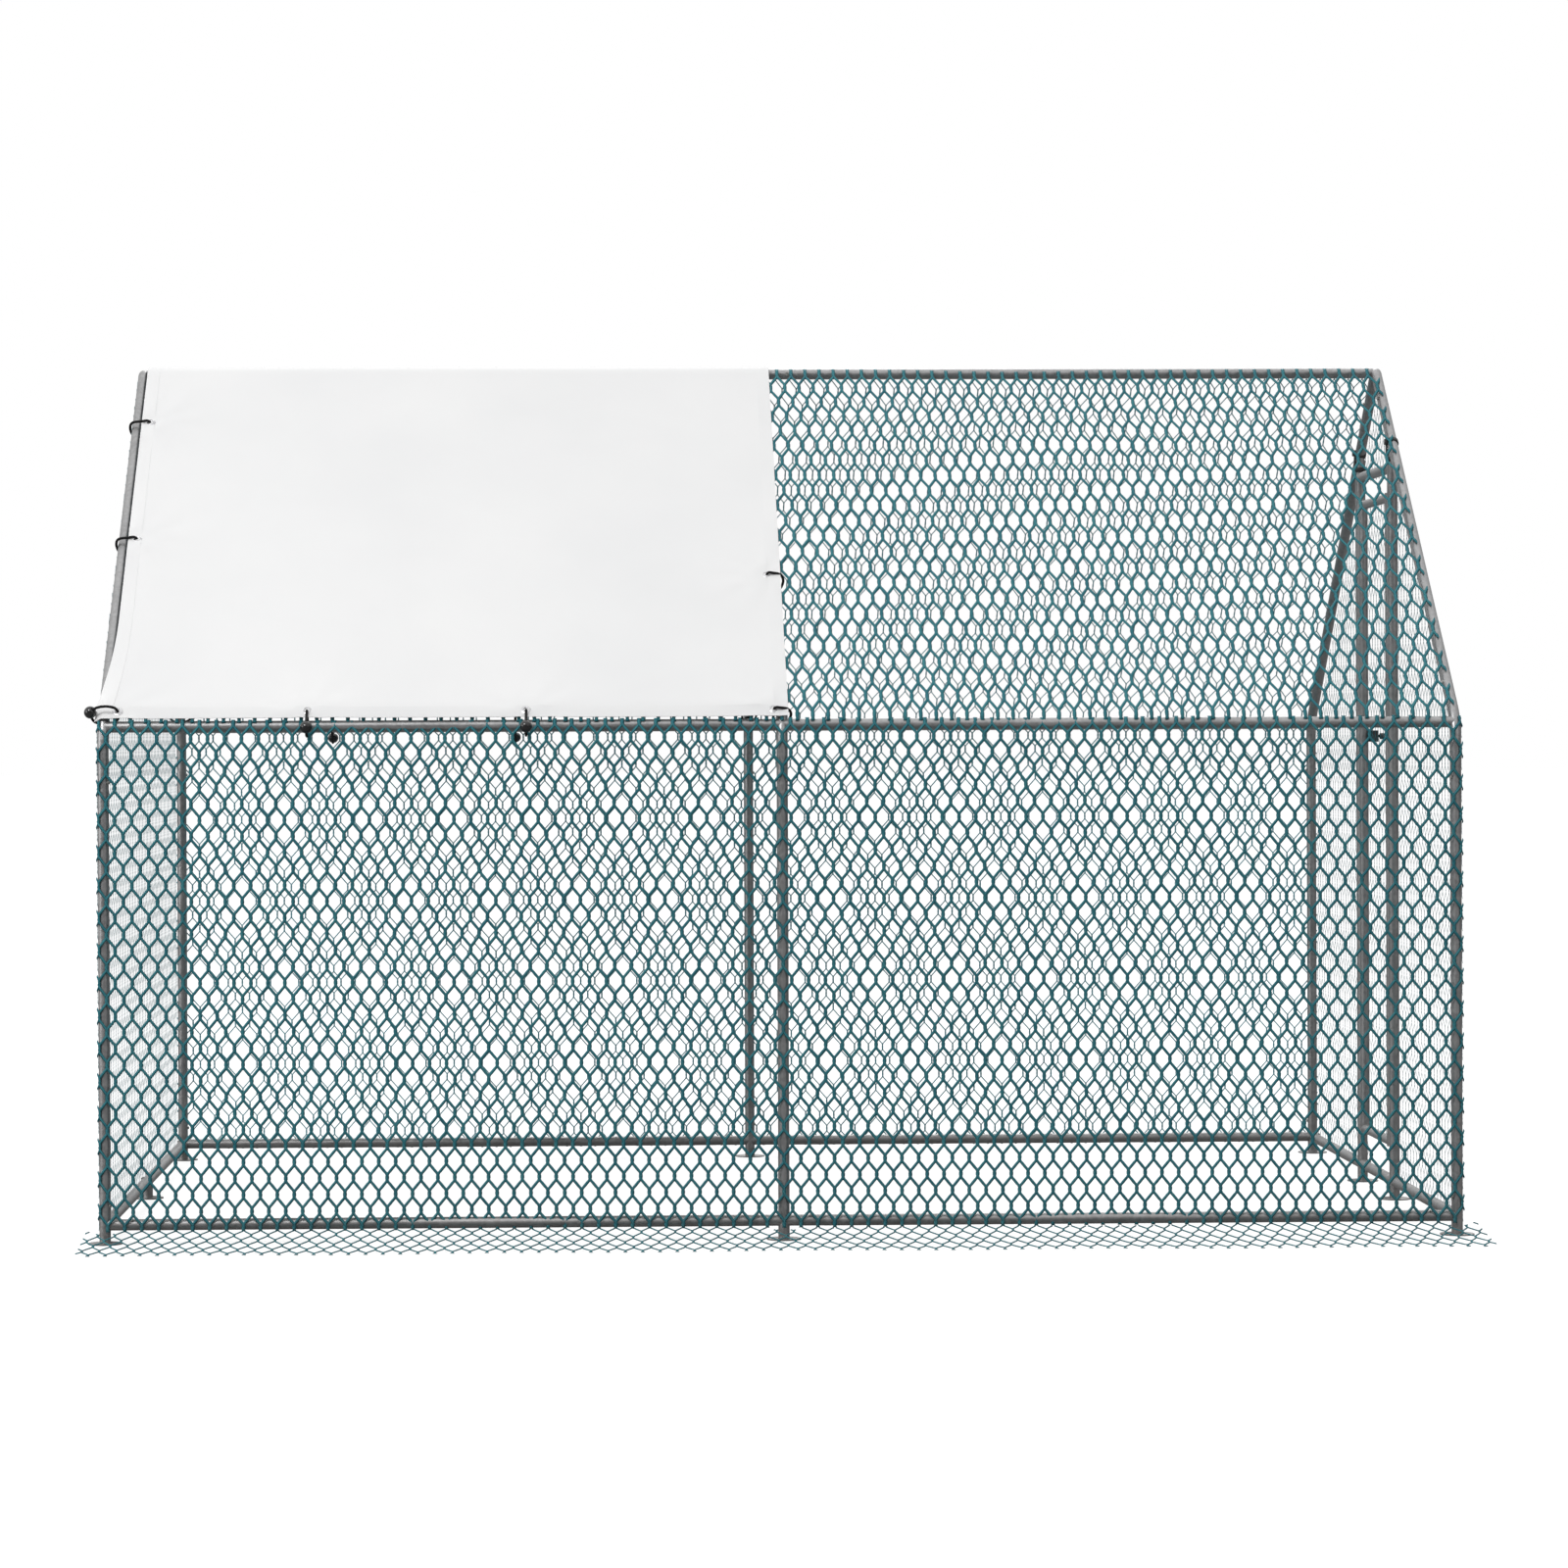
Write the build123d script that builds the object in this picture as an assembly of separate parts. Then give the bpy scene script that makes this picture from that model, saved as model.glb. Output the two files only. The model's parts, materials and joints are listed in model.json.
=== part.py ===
from build123d import *
import os
from collections import namedtuple
from math import ceil, cos, floor, hypot, radians, sin, sqrt, tan

# Walk-in chicken coop. Millimetres, +X to the right along the ridge, +Y to the back, +Z up.
# The origin is on the ground, at the middle of the frame's footprint.

# Frame
LENGTH = 3000.0  # over the corner posts, along X
WIDTH = 2000.0  # over the corner posts, along Y
EAVE_HEIGHT = 1136.0  # where the lines of a post and its rafter meet
ROOF_ANGLE = 40.7  # degrees from level
RAIL_HEIGHT = 42.0  # axis of the bottom rails
TUBE_OD = 25.0
TUBE_WALL = 1.0

# Sockets of the fittings, and the narrowed tube necks that go into them
NECK_LENGTH = 45.0
NECK_SLIP = 0.2  # radial clearance of a neck in its socket
JOINT_GAP = 0.4  # between a tube's shoulder and the socket's mouth
RAIL_ARM = 88.0  # from a fitting's centre to the mouth of a rail arm
FOOT_COLLAR = 113.0  # height of the mouth that takes a post
EAVE_ARM_DOWN = 155.0  # from the corner of the bend to the post's mouth
EAVE_ARM_UP = 150.0  # from the corner of the bend to the rafter's mouth
EAVE_BEND = 100.0  # radius of the tube's axis
RIDGE_ARM = 150.0
RIDGE_BEND = 20.0
BRANCH_STEP = 0.2  # how much slimmer a welded branch is than its main tube, in radius
BRANCH_FLOOR = 1.5  # metal left between a branch's socket and its main tube

# Foot discs, with one anchor hole in each corner foot
DISC_DIAMETER = 76.0
DISC_THICKNESS = 2.5
ANCHOR_HOLE = 9.0
ANCHOR_OFFSET = 26.0  # from the post's axis, outwards along the diagonal

# Self-tapping screws, one at each socket
SCREW_INSET = 29.0  # from the socket's mouth
SCREW_SHANK = 4.2
SCREW_LENGTH = 6.0
SCREW_FLANGE = 9.0
SCREW_FLANGE_HEIGHT = 1.0
SCREW_HEX = 7.0  # across the flats
SCREW_HEX_HEIGHT = 2.5
SCREW_FIT = 0.05
SCREW_TURN = 60.0  # degrees that a head is turned away from the netting

# Door in the right gable
DOOR_POST_Y = 220.0
DOOR_OD = 22.0
DOOR_GAP = 16.5  # between a door post and the stile beside it
DOOR_FOOT_GAP = 9.0  # between the feet's collars and the leaf
DOOR_HEAD_GAP = 46.0  # between the leaf and the lintel
LINTEL_DROP = 58.0  # from the rafter's axis, over the door post, down to the lintel's axis
WELD_GAP = 0.05  # between a coped end or a saddle and the tube it sits on

# Hinges
HINGE_INSET = 280.0  # from the leaf's ends
HINGE_PIN = 6.0
HINGE_RUNNING = 0.05  # radial, eye on pin
HINGE_SEAT = 0.02  # radial, pin in lug
HINGE_PLATE = 5.0
HINGE_LUG_R = 7.0
HINGE_EYE_R = 6.5
HINGE_LIFT = 0.3  # between the lug and the eye
HINGE_PIN_END = 6.0  # how far the pin stands out of the eye

# Latch
LATCH_RISE = 978.0  # from the leaf's lower end to the bolt's axis
LATCH_LENGTH = 54.0
LATCH_HEIGHT = 28.0
LATCH_REACH = 14.0  # how far the body passes the stile's axis
LATCH_ROOF = 8.5  # from the bolt's axis to the body's outer face
LATCH_SADDLE = 10.5  # how deep the saddle reaches round its tube, from the tube's outer face
BOLT_DIAMETER = 8.0
BOLT_LENGTH = 50.0
BOLT_TRAVEL = 35.0
BOLT_RUNNING = 0.05
BOLT_SETBACK = 2.0  # from the body's end to the drawn bolt's end
BOLT_NET_GAP = 1.2
KNOB_STEM = 7.0
KNOB_STEM_GAP = 0.5
KNOB_INSET = 8.0  # from the bolt's back end
KNOB_DIAMETER = 15.0
KNOB_LENGTH = 12.0
KNOB_REACH = 24.5  # from the bolt's axis to the knob's outer end
KEEPER_GAP = 0.5  # radial, bolt in keeper

# Clips that hold the door posts' tops to the rafters
CLIP_WALL = 2.5
CLIP_WIDTH = 12.0
CLIP_FIT = 0.05
CLIP_STRAP = 12.0
CLIP_DROP = 38.3  # from the rafter's axis, over the door post, down to the middle of the clip on the post
CLIP_CLEAR = 0.3
CLIP_OPENING = 50.0  # degrees that a clip stays open, either side of the netting's direction

# Netting: hexagonal gaps between wires, twisted in pairs along the upright sides
NET_CELL = 118.0  # across a gap, from twist to twist
NET_TWIST = 53.0  # length of a twisted side
NET_SLANT = 59.0  # height of a slanting side
NET_WIRE = 4.0
NET_THICKNESS = 2.5
NET_SEAT = 0.3  # between the netting and the tubes it lies on
NET_SEAM = 1.0  # between two panels that meet on a tube
NET_SMALLEST = 0.12  # share of a whole gap, under which a cut gap stays closed
NET_LIFT = 3.0  # lower edge of the wall netting, above the ground
WALL_NET_DROP = 14.0  # from the eave corner down to the wall netting's upper edge
ROOF_NET_START = 36.0  # up the slope, from the eave corner
RIDGE_NET_GAP = 0.15  # from the ridge line to the roof netting's upper edge
GABLE_NET_RISE = 8.0  # how far the gable netting reaches over the rafter's axis
SKIRT_OUT = 252.0
SKIRT_SIDE = 28.0
SKIRT_GAP = 0.5

# Cover over the left half of the roof, and the bungees that tie it down
COVER_THICKNESS = 1.0
COVER_SEAT = 0.3  # over the roof netting
COVER_INSET = 7.5  # from the left rafter's axis to the cover's left edge
COVER_OVERHANG = 20.0  # from the middle rafter's axis to the cover's right edge
EYELET_BORE = 12.0
EYELET_BARREL = 14.0
EYELET_FLANGE = 22.0
EYELET_HEIGHT = 1.2
EYELET_FIT = 0.05
EYELET_HEM = 25.0  # from the cover's edge to an eyelet
EYELET_PAST_RAFTER = 24.0  # from the middle rafter's axis to an eyelet of the right edge
CORD_DIAMETER = 5.0
CORD_BEND = 8.0
CORD_CLEAR = 3.0  # between a cord and the tubes, netting and cover that it goes round
CORD_LIFT = 0.6  # between a cord and the eyelet's flange that it passes over
CORD_PASSAGE = 1.0  # radial room for a cord where it goes through the netting
BALL_DIAMETER = 27.0
BALL_CLEAR = 0.5
BALL_SEAT = 0.2  # between the ball and the ends of its cord
CORNER_BALL_RISE = 17.5  # from the rafter's axis out to the ball at a corner of the cover
LEFT_TIES = (0.173, 0.514)  # places along the left edge, as shares of the slope from the ridge
RIGHT_TIES = (0.620,)
EAVE_TIES = (0.287, 0.613)  # places along the eave edge, as shares of the width from the left

# Values worked out from those above
RADIUS = TUBE_OD / 2
BORE = RADIUS - TUBE_WALL
NECK = BORE - NECK_SLIP
SLOPE = radians(ROOF_ANGLE)
POST_X = LENGTH / 2 - RADIUS
POST_Y = WIDTH / 2 - RADIUS
APEX_HEIGHT = EAVE_HEIGHT + POST_Y * tan(SLOPE)
SLOPE_LENGTH = POST_Y / cos(SLOPE)
RIDGE_HEIGHT = APEX_HEIGHT - RIDGE_BEND * (1 / cos(SLOPE) - 1)
NET_FACE = RADIUS + NET_SEAT  # from a tube's axis to the inside of its netting
NET_OUTSIDE = NET_FACE + NET_THICKNESS
COVER_FACE = NET_OUTSIDE + COVER_SEAT
COVER_TOP = COVER_FACE + COVER_THICKNESS
COVER_LEFT = COVER_INSET - POST_X
DOOR_R = DOOR_OD / 2
STILE_Y = DOOR_POST_Y - RADIUS - DOOR_GAP - DOOR_R
HINGE_Y = RADIUS + DOOR_GAP / 2 - DOOR_POST_Y
LINTEL_HEIGHT = APEX_HEIGHT - DOOR_POST_Y * tan(SLOPE) - LINTEL_DROP
DOOR_LOW = FOOT_COLLAR + DOOR_FOOT_GAP
DOOR_HIGH = LINTEL_HEIGHT - RADIUS - DOOR_HEAD_GAP
EAVE_HALF_TURN = radians(90 - ROOF_ANGLE) / 2

X_AXIS = Vector(1, 0, 0)
Y_AXIS = Vector(0, 1, 0)
Z_AXIS = Vector(0, 0, 1)
BASE = (Align.CENTER, Align.CENTER, Align.MIN)
FRONT_AND_BACK = {"front": -1, "back": 1}
FRAMES = {"left": -1, "middle": 0, "right": 1}

# A socket's mouth: its centre, the way into the socket, and the way its screw's head faces
Mouth = namedtuple("Mouth", "point inward screw")


def up_slope(side):
    """Direction from the eave to the ridge, on the front (-1) or back (1) slope."""
    return Vector(0, -side * cos(SLOPE), sin(SLOPE))


def slope_normal(side):
    """Outward direction of a roof slope."""
    return Vector(0, side * sin(SLOPE), cos(SLOPE))


def slope_point(x, side, up, out):
    """Point over a roof slope: so far up from the eave corner and out from the rafters' axes."""
    corner = Vector(x, side * POST_Y, EAVE_HEIGHT)
    return corner + up_slope(side) * up + slope_normal(side) * out


def turned(outward, towards):
    """Direction of a screw's head, turned from the netting's side towards another side."""
    angle = radians(SCREW_TURN)
    return outward * cos(angle) + towards * sin(angle)


def inner_x(frame):
    """Direction along the ridge that faces into the coop from one of the three frames."""
    return X_AXIS * (-frame if frame else 1)


# Mouths of the sockets

def post_foot_mouth(frame, side):
    point = Vector(frame * POST_X, side * POST_Y, FOOT_COLLAR)
    return Mouth(point, -Z_AXIS, turned(Y_AXIS * side, inner_x(frame)))


def door_foot_mouth(side):
    point = Vector(POST_X, side * DOOR_POST_Y, FOOT_COLLAR)
    return Mouth(point, -Z_AXIS, turned(X_AXIS, Y_AXIS * side))


def long_rail_mouth(frame, side, towards):
    point = Vector(frame * POST_X + towards * RAIL_ARM, side * POST_Y, RAIL_HEIGHT)
    return Mouth(point, X_AXIS * -towards, turned(Y_AXIS * side, Z_AXIS))


def gable_rail_mouth(gable, y, towards):
    point = Vector(gable * POST_X, y + towards * RAIL_ARM, RAIL_HEIGHT)
    return Mouth(point, Y_AXIS * -towards, turned(X_AXIS * gable, Z_AXIS))


def eave_post_mouth(frame, side):
    point = Vector(frame * POST_X, side * POST_Y, EAVE_HEIGHT - EAVE_ARM_DOWN)
    return Mouth(point, Z_AXIS, turned(Y_AXIS * side, inner_x(frame)))


def eave_rafter_mouth(frame, side):
    point = slope_point(frame * POST_X, side, EAVE_ARM_UP, 0)
    return Mouth(point, -up_slope(side), turned(slope_normal(side), inner_x(frame)))


def eave_bend_middle(frame, side):
    """Middle of the eave bracket's bend, where the eave rails' stubs meet it."""
    inward = (up_slope(side) - Z_AXIS).normalized()
    corner = Vector(frame * POST_X, side * POST_Y, EAVE_HEIGHT)
    return corner + inward * (EAVE_BEND * (1 / cos(EAVE_HALF_TURN) - 1))


def eave_bend_sag(up):
    """How far the bracket's bend runs under the rafter's line, at a place up the slope."""
    along_bend = max(EAVE_BEND * tan(EAVE_HALF_TURN) - up, 0)
    return EAVE_BEND - sqrt(EAVE_BEND ** 2 - along_bend ** 2)


def eave_rail_mouth(frame, side, towards):
    point = eave_bend_middle(frame, side) + X_AXIS * (towards * RAIL_ARM)
    return Mouth(point, X_AXIS * -towards, Y_AXIS * side)


def ridge_rafter_mouth(frame, side):
    point = slope_point(frame * POST_X, side, SLOPE_LENGTH - RIDGE_ARM, 0)
    return Mouth(point, up_slope(side), turned(slope_normal(side), inner_x(frame)))


def ridge_rail_mouth(frame, towards):
    point = Vector(frame * POST_X + towards * RAIL_ARM, 0, RIDGE_HEIGHT)
    return Mouth(point, X_AXIS * -towards, -Y_AXIS)


# Tubes, fittings and screws

def rod(start, end, radius):
    """Round bar between two points."""
    run = end - start
    return Plane(start, z_dir=run) * Cylinder(radius, run.length, align=BASE)


def pipe(points, radius, bend):
    """Round bar along two points, or along three with a rounded bend at the middle one."""
    if len(points) == 2:
        return rod(*points, radius)
    path = FilletPolyline(*points, radius=bend)
    section = Plane(points[0], z_dir=points[1] - points[0]) * Circle(radius)
    return sweep(section, path=path)


def screw_hole(mouth):
    """Hole for a socket's screw, through the socket and the neck in it."""
    centre = mouth.point + mouth.inward * SCREW_INSET
    reach = RADIUS + TUBE_WALL
    return rod(centre + mouth.screw * (reach - SCREW_LENGTH - TUBE_WALL), centre + mouth.screw * reach,
               SCREW_SHANK / 2 + SCREW_FIT)


def screw(mouth):
    """Self-tapping screw with a flanged hexagon head, seated on its socket."""
    seat = mouth.point + mouth.inward * SCREW_INSET + mouth.screw * (RADIUS + SCREW_FIT)
    shank = Cylinder(SCREW_SHANK / 2, SCREW_LENGTH, align=(Align.CENTER, Align.CENTER, Align.MAX))
    flange = Cylinder(SCREW_FLANGE / 2, SCREW_FLANGE_HEIGHT, align=BASE)
    hexagon = RegularPolygon(SCREW_HEX / 2, 6, major_radius=False)
    head = Pos(0, 0, SCREW_FLANGE_HEIGHT) * extrude(hexagon, amount=SCREW_HEX_HEIGHT)
    return Plane(seat, z_dir=mouth.screw) * (shank + flange + head)


def necked_tube(length, neck_low, neck_high):
    """Tube along Z from zero, with a narrowed neck past either end."""
    inner = NECK - TUBE_WALL
    outside = []
    inside = []
    if neck_low:
        outside += [(NECK, -NECK_LENGTH), (NECK, 0), (RADIUS, 0)]
        inside += [(inner, -NECK_LENGTH), (inner, TUBE_WALL), (BORE, TUBE_WALL)]
    else:
        outside += [(RADIUS, 0)]
        inside += [(BORE, 0)]
    if neck_high:
        outside += [(RADIUS, length), (NECK, length), (NECK, length + NECK_LENGTH)]
        inside += [(BORE, length - TUBE_WALL), (inner, length - TUBE_WALL), (inner, length + NECK_LENGTH)]
    else:
        outside += [(RADIUS, length)]
        inside += [(BORE, length)]
    section = Plane.XZ * make_face(Polyline(*outside, *reversed(inside), close=True))
    return revolve(section, axis=Axis.Z)


def tube_between(low, high):
    """Tube whose necks sit in two facing sockets, with a screw hole in each neck."""
    run = high.point - low.point
    start = low.point + run.normalized() * JOINT_GAP
    tube = Plane(start, z_dir=run) * necked_tube(run.length - 2 * JOINT_GAP, True, True)
    return tube - screw_hole(low) - screw_hole(high)


def fitting(path, bend, main_mouths, branches):
    """Welded tube fitting: a hollow main tube, and arms that branch from points on its axis."""
    body = pipe(path, RADIUS, bend)
    for root, mouth in branches:
        body += rod(root, mouth.point, RADIUS - BRANCH_STEP)
    body -= pipe(path, BORE, bend)
    for root, mouth in branches:
        floor_point = root - mouth.inward * (RADIUS + BRANCH_FLOOR)
        body -= rod(floor_point, mouth.point, BORE)
    for mouth in main_mouths + [mouth for _, mouth in branches]:
        body -= screw_hole(mouth)
    return body


def foot_disc(x, y):
    return Pos(x, y, 0) * Cylinder(DISC_DIAMETER / 2, DISC_THICKNESS, align=BASE)


def post_foot(x, y, post_mouth, rail_mouths):
    """Foot with an upright socket for a post, arms for the bottom rails, and a disc."""
    axis = Vector(x, y, RAIL_HEIGHT)
    path = [Vector(x, y, DISC_THICKNESS), post_mouth.point]
    body = fitting(path, 0, [post_mouth], [(axis, mouth) for mouth in rail_mouths])
    return body + foot_disc(x, y)


def corner_foot(frame, side):
    """Corner foot, with its anchor hole outwards along the diagonal."""
    x = frame * POST_X
    y = side * POST_Y
    rails = [long_rail_mouth(frame, side, -frame), gable_rail_mouth(frame, y, -side)]
    offset = ANCHOR_OFFSET * cos(radians(45))
    hole = Cylinder(ANCHOR_HOLE / 2, DISC_THICKNESS, align=BASE)
    foot = post_foot(x, y, post_foot_mouth(frame, side), rails)
    return foot - Pos(x + frame * offset, y + side * offset, 0) * hole


def middle_foot(side):
    """Foot of a middle post, with a rail arm to either side."""
    rails = [long_rail_mouth(0, side, -1), long_rail_mouth(0, side, 1)]
    return post_foot(0, side * POST_Y, post_foot_mouth(0, side), rails)


def door_foot(side):
    """Foot of a door post, with arms for the sill and the gable's rail."""
    y = side * DOOR_POST_Y
    rails = [gable_rail_mouth(1, y, -1), gable_rail_mouth(1, y, 1)]
    return post_foot(POST_X, y, door_foot_mouth(side), rails)


def left_gable_foot():
    """Foot under the middle of the left gable's rails, with no post on it."""
    mouths = [gable_rail_mouth(-1, 0, -1), gable_rail_mouth(-1, 0, 1)]
    axis = Vector(-POST_X, 0, RAIL_HEIGHT)
    ground = Vector(-POST_X, 0, DISC_THICKNESS)
    leg = rod(ground, axis, RADIUS - BRANCH_STEP)
    leg -= rod(ground, axis - Z_AXIS * (RADIUS + BRANCH_FLOOR), BORE)
    leg -= rod(mouths[0].point, mouths[1].point, BORE)
    return fitting([mouth.point for mouth in mouths], 0, mouths, []) + leg + foot_disc(-POST_X, 0)


def eave_bracket(frame, side):
    """Bent bracket from a post to its rafter, with stubs for the eave rails."""
    mains = [eave_post_mouth(frame, side), eave_rafter_mouth(frame, side)]
    corner = Vector(frame * POST_X, side * POST_Y, EAVE_HEIGHT)
    root = eave_bend_middle(frame, side)
    ways = [-frame] if frame else [-1, 1]
    stubs = [(root, eave_rail_mouth(frame, side, way)) for way in ways]
    return fitting([mains[0].point, corner, mains[1].point], EAVE_BEND, mains, stubs)


def ridge_bracket(frame):
    """Bent bracket from a front rafter to its back rafter, with stubs for the ridge rails."""
    mains = [ridge_rafter_mouth(frame, side) for side in (-1, 1)]
    apex = Vector(frame * POST_X, 0, APEX_HEIGHT)
    root = Vector(frame * POST_X, 0, RIDGE_HEIGHT)
    ways = [-frame] if frame else [-1, 1]
    stubs = [(root, ridge_rail_mouth(frame, way)) for way in ways]
    return fitting([mains[0].point, apex, mains[1].point], RIDGE_BEND, mains, stubs)


# Door posts, lintel and clips

def door_post(side):
    """Door post in its foot, with its top cut along the rafter, under the clip."""
    foot = door_foot_mouth(side)
    axis_out = RADIUS + CLIP_FIT + CLIP_WALL + CLIP_CLEAR
    rafter_height = APEX_HEIGHT - DOOR_POST_Y * tan(SLOPE)
    length = rafter_height - FOOT_COLLAR
    post = Plane(foot.point + Z_AXIS * JOINT_GAP) * necked_tube(length, True, False)
    under_rafter = Vector(POST_X, side * DOOR_POST_Y, rafter_height) - slope_normal(side) * axis_out
    post = split(post, bisect_by=Plane(under_rafter, z_dir=slope_normal(side)), keep=Keep.BOTTOM)
    return post - screw_hole(foot)


def door_post_axis(side):
    """Ends of the line that a door post stands on."""
    foot = Vector(POST_X, side * DOOR_POST_Y, 0)
    return foot, foot + Z_AXIS * APEX_HEIGHT


def lintel():
    """Tube between the door posts, coped onto them."""
    ends = [Vector(POST_X, side * DOOR_POST_Y, LINTEL_HEIGHT) for side in (-1, 1)]
    tube = rod(*ends, RADIUS) - rod(*ends, BORE)
    for side in (-1, 1):
        tube -= rod(*door_post_axis(side), RADIUS + WELD_GAP)
    return tube


def clip_ring(plane, start, turn):
    """Springy part of a ring round a tube's axis, from a start angle through a turn."""
    inner = CenterArc((0, 0), RADIUS + CLIP_FIT, start, turn)
    outer = CenterArc((0, 0), RADIUS + CLIP_FIT + CLIP_WALL, start, turn)
    ends = [Line(inner @ end, outer @ end) for end in (0, 1)]
    return plane * extrude(make_face([inner, outer, *ends]), amount=CLIP_WIDTH / 2, both=True)


def door_post_clip(side):
    """Clip under the rafter and round the door post, joined by a strap on the inside."""
    crossing = Vector(POST_X, side * DOOR_POST_Y, APEX_HEIGHT - DOOR_POST_Y * tan(SLOPE))
    normal = slope_normal(side)
    rafter_plane = Plane(crossing, x_dir=X_AXIS, z_dir=X_AXIS.cross(normal))
    rafter_turn = 270 - 2 * CLIP_OPENING
    clip = clip_ring(rafter_plane, 90 + CLIP_OPENING, rafter_turn)
    clip += clip_ring(Plane(crossing - Z_AXIS * CLIP_DROP), CLIP_OPENING, 360 - 2 * CLIP_OPENING)
    thickness = CLIP_WALL - CLIP_FIT
    strap = Box(thickness, CLIP_STRAP, CLIP_DROP, align=(Align.MIN, Align.CENTER, Align.MAX))
    return clip + Pos(crossing - X_AXIS * (RADIUS + CLIP_FIT + CLIP_WALL)) * strap


# Door leaf

def stile_axis(side):
    """Ends of a stile's axis: -1 is the hinge stile, 1 the latch stile."""
    return Vector(POST_X, side * STILE_Y, DOOR_LOW), Vector(POST_X, side * STILE_Y, DOOR_HIGH)


def door_stile(side):
    return rod(*stile_axis(side), DOOR_R) - rod(*stile_axis(side), DOOR_R - TUBE_WALL)


def door_rail(height):
    """Tube between the stiles, coped onto them."""
    ends = [Vector(POST_X, side * STILE_Y, height) for side in (-1, 1)]
    rail = rod(*ends, DOOR_R) - rod(*ends, DOOR_R - TUBE_WALL)
    for side in (-1, 1):
        rail -= rod(*stile_axis(side), DOOR_R + WELD_GAP)
    return rail


def hinge_plate(radius, root_y, height, bore):
    """Flat hinge plate from a tube's axis to the pin, with a round end and a hole."""
    reach = HINGE_Y - root_y
    plate = Pos(POST_X, root_y + reach / 2, height) * Box(2 * radius, abs(reach), HINGE_PLATE, align=BASE)
    plate += Pos(POST_X, HINGE_Y, height) * Cylinder(radius, HINGE_PLATE, align=BASE)
    return plate - Pos(POST_X, HINGE_Y, height) * Cylinder(bore, HINGE_PLATE, align=BASE)


def hinge_lug(height):
    lug = hinge_plate(HINGE_LUG_R, -DOOR_POST_Y, height, HINGE_PIN / 2 + HINGE_SEAT)
    return lug - rod(*door_post_axis(-1), RADIUS + WELD_GAP)


def hinge_eye(height):
    seat = height + HINGE_PLATE + HINGE_LIFT
    eye = hinge_plate(HINGE_EYE_R, -STILE_Y, seat, HINGE_PIN / 2 + HINGE_RUNNING)
    return eye - rod(*stile_axis(-1), DOOR_R + WELD_GAP)


def hinge_pin(height):
    length = 2 * HINGE_PLATE + HINGE_LIFT + HINGE_PIN_END
    pin = Cylinder(HINGE_PIN / 2, length, align=BASE)
    top = pin.edges().sort_by(Axis.Z)[-1]
    return Pos(POST_X, HINGE_Y, height) * chamfer(top, HINGE_PIN / 6)


# Latch

BOLT_X = POST_X + NET_OUTSIDE + BOLT_NET_GAP + BOLT_DIAMETER / 2
LATCH_Z = DOOR_LOW + LATCH_RISE
LATCH_END = STILE_Y + LATCH_REACH
BOLT_END = LATCH_END - BOLT_SETBACK
BOLT_START = BOLT_END - BOLT_LENGTH
KNOB_Y = BOLT_START + KNOB_INSET
LATCH_FACE = BOLT_X + LATCH_ROOF


def block(x_range, y_range, height):
    """Box about the bolt's level, between two places along X and two along Y."""
    size_x = x_range[1] - x_range[0]
    size_y = y_range[1] - y_range[0]
    centre = Pos((x_range[0] + x_range[1]) / 2, (y_range[0] + y_range[1]) / 2, LATCH_Z)
    return centre * Box(size_x, size_y, height)


def bolt_line(start_y, end_y):
    return Vector(BOLT_X, start_y, LATCH_Z), Vector(BOLT_X, end_y, LATCH_Z)


def latch_body():
    """Guide of the bolt over the door's netting, with a saddle on the latch stile."""
    net_face = POST_X + DOOR_R + NET_SEAT + NET_THICKNESS + NET_SEAT
    back = LATCH_END - LATCH_LENGTH
    body = block((net_face, LATCH_FACE), (back, LATCH_END), LATCH_HEIGHT)
    saddle_x = POST_X + DOOR_R - LATCH_SADDLE
    body += block((saddle_x, LATCH_FACE), (STILE_Y + NET_SEAM, LATCH_END), LATCH_HEIGHT)
    body -= rod(*stile_axis(1), DOOR_R + WELD_GAP)
    body -= rod(*bolt_line(BOLT_START - KNOB_STEM_GAP, LATCH_END), BOLT_DIAMETER / 2 + BOLT_RUNNING)
    half_slot = KNOB_STEM / 2 + KNOB_STEM_GAP
    slot = (KNOB_Y - half_slot, KNOB_Y + BOLT_TRAVEL + half_slot)
    return body - block((BOLT_X, LATCH_FACE), slot, 2 * half_slot)


def latch_bolt():
    """Round bolt, drawn back, with its knob on a stem through the body's slot."""
    bolt = rod(*bolt_line(BOLT_START, BOLT_END), BOLT_DIAMETER / 2)
    root = Vector(BOLT_X, KNOB_Y, LATCH_Z)
    bolt += rod(root, root + X_AXIS * KNOB_REACH, KNOB_STEM / 2)
    knob = rod(root + X_AXIS * (KNOB_REACH - KNOB_LENGTH), root + X_AXIS * KNOB_REACH, KNOB_DIAMETER / 2)
    rims = knob.edges().filter_by(GeomType.CIRCLE)
    return bolt + fillet(rims, KNOB_LENGTH / 5)


def latch_keeper():
    """Keeper on the door post, with the hole that the bolt slides into."""
    saddle_x = POST_X + RADIUS - LATCH_SADDLE
    ends = (DOOR_POST_Y - RADIUS, DOOR_POST_Y - NET_SEAM)
    keeper = block((saddle_x, LATCH_FACE), ends, LATCH_HEIGHT)
    keeper -= rod(*door_post_axis(1), RADIUS + WELD_GAP)
    return keeper - rod(*bolt_line(*ends), BOLT_DIAMETER / 2 + KEEPER_GAP)


# Netting

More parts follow.
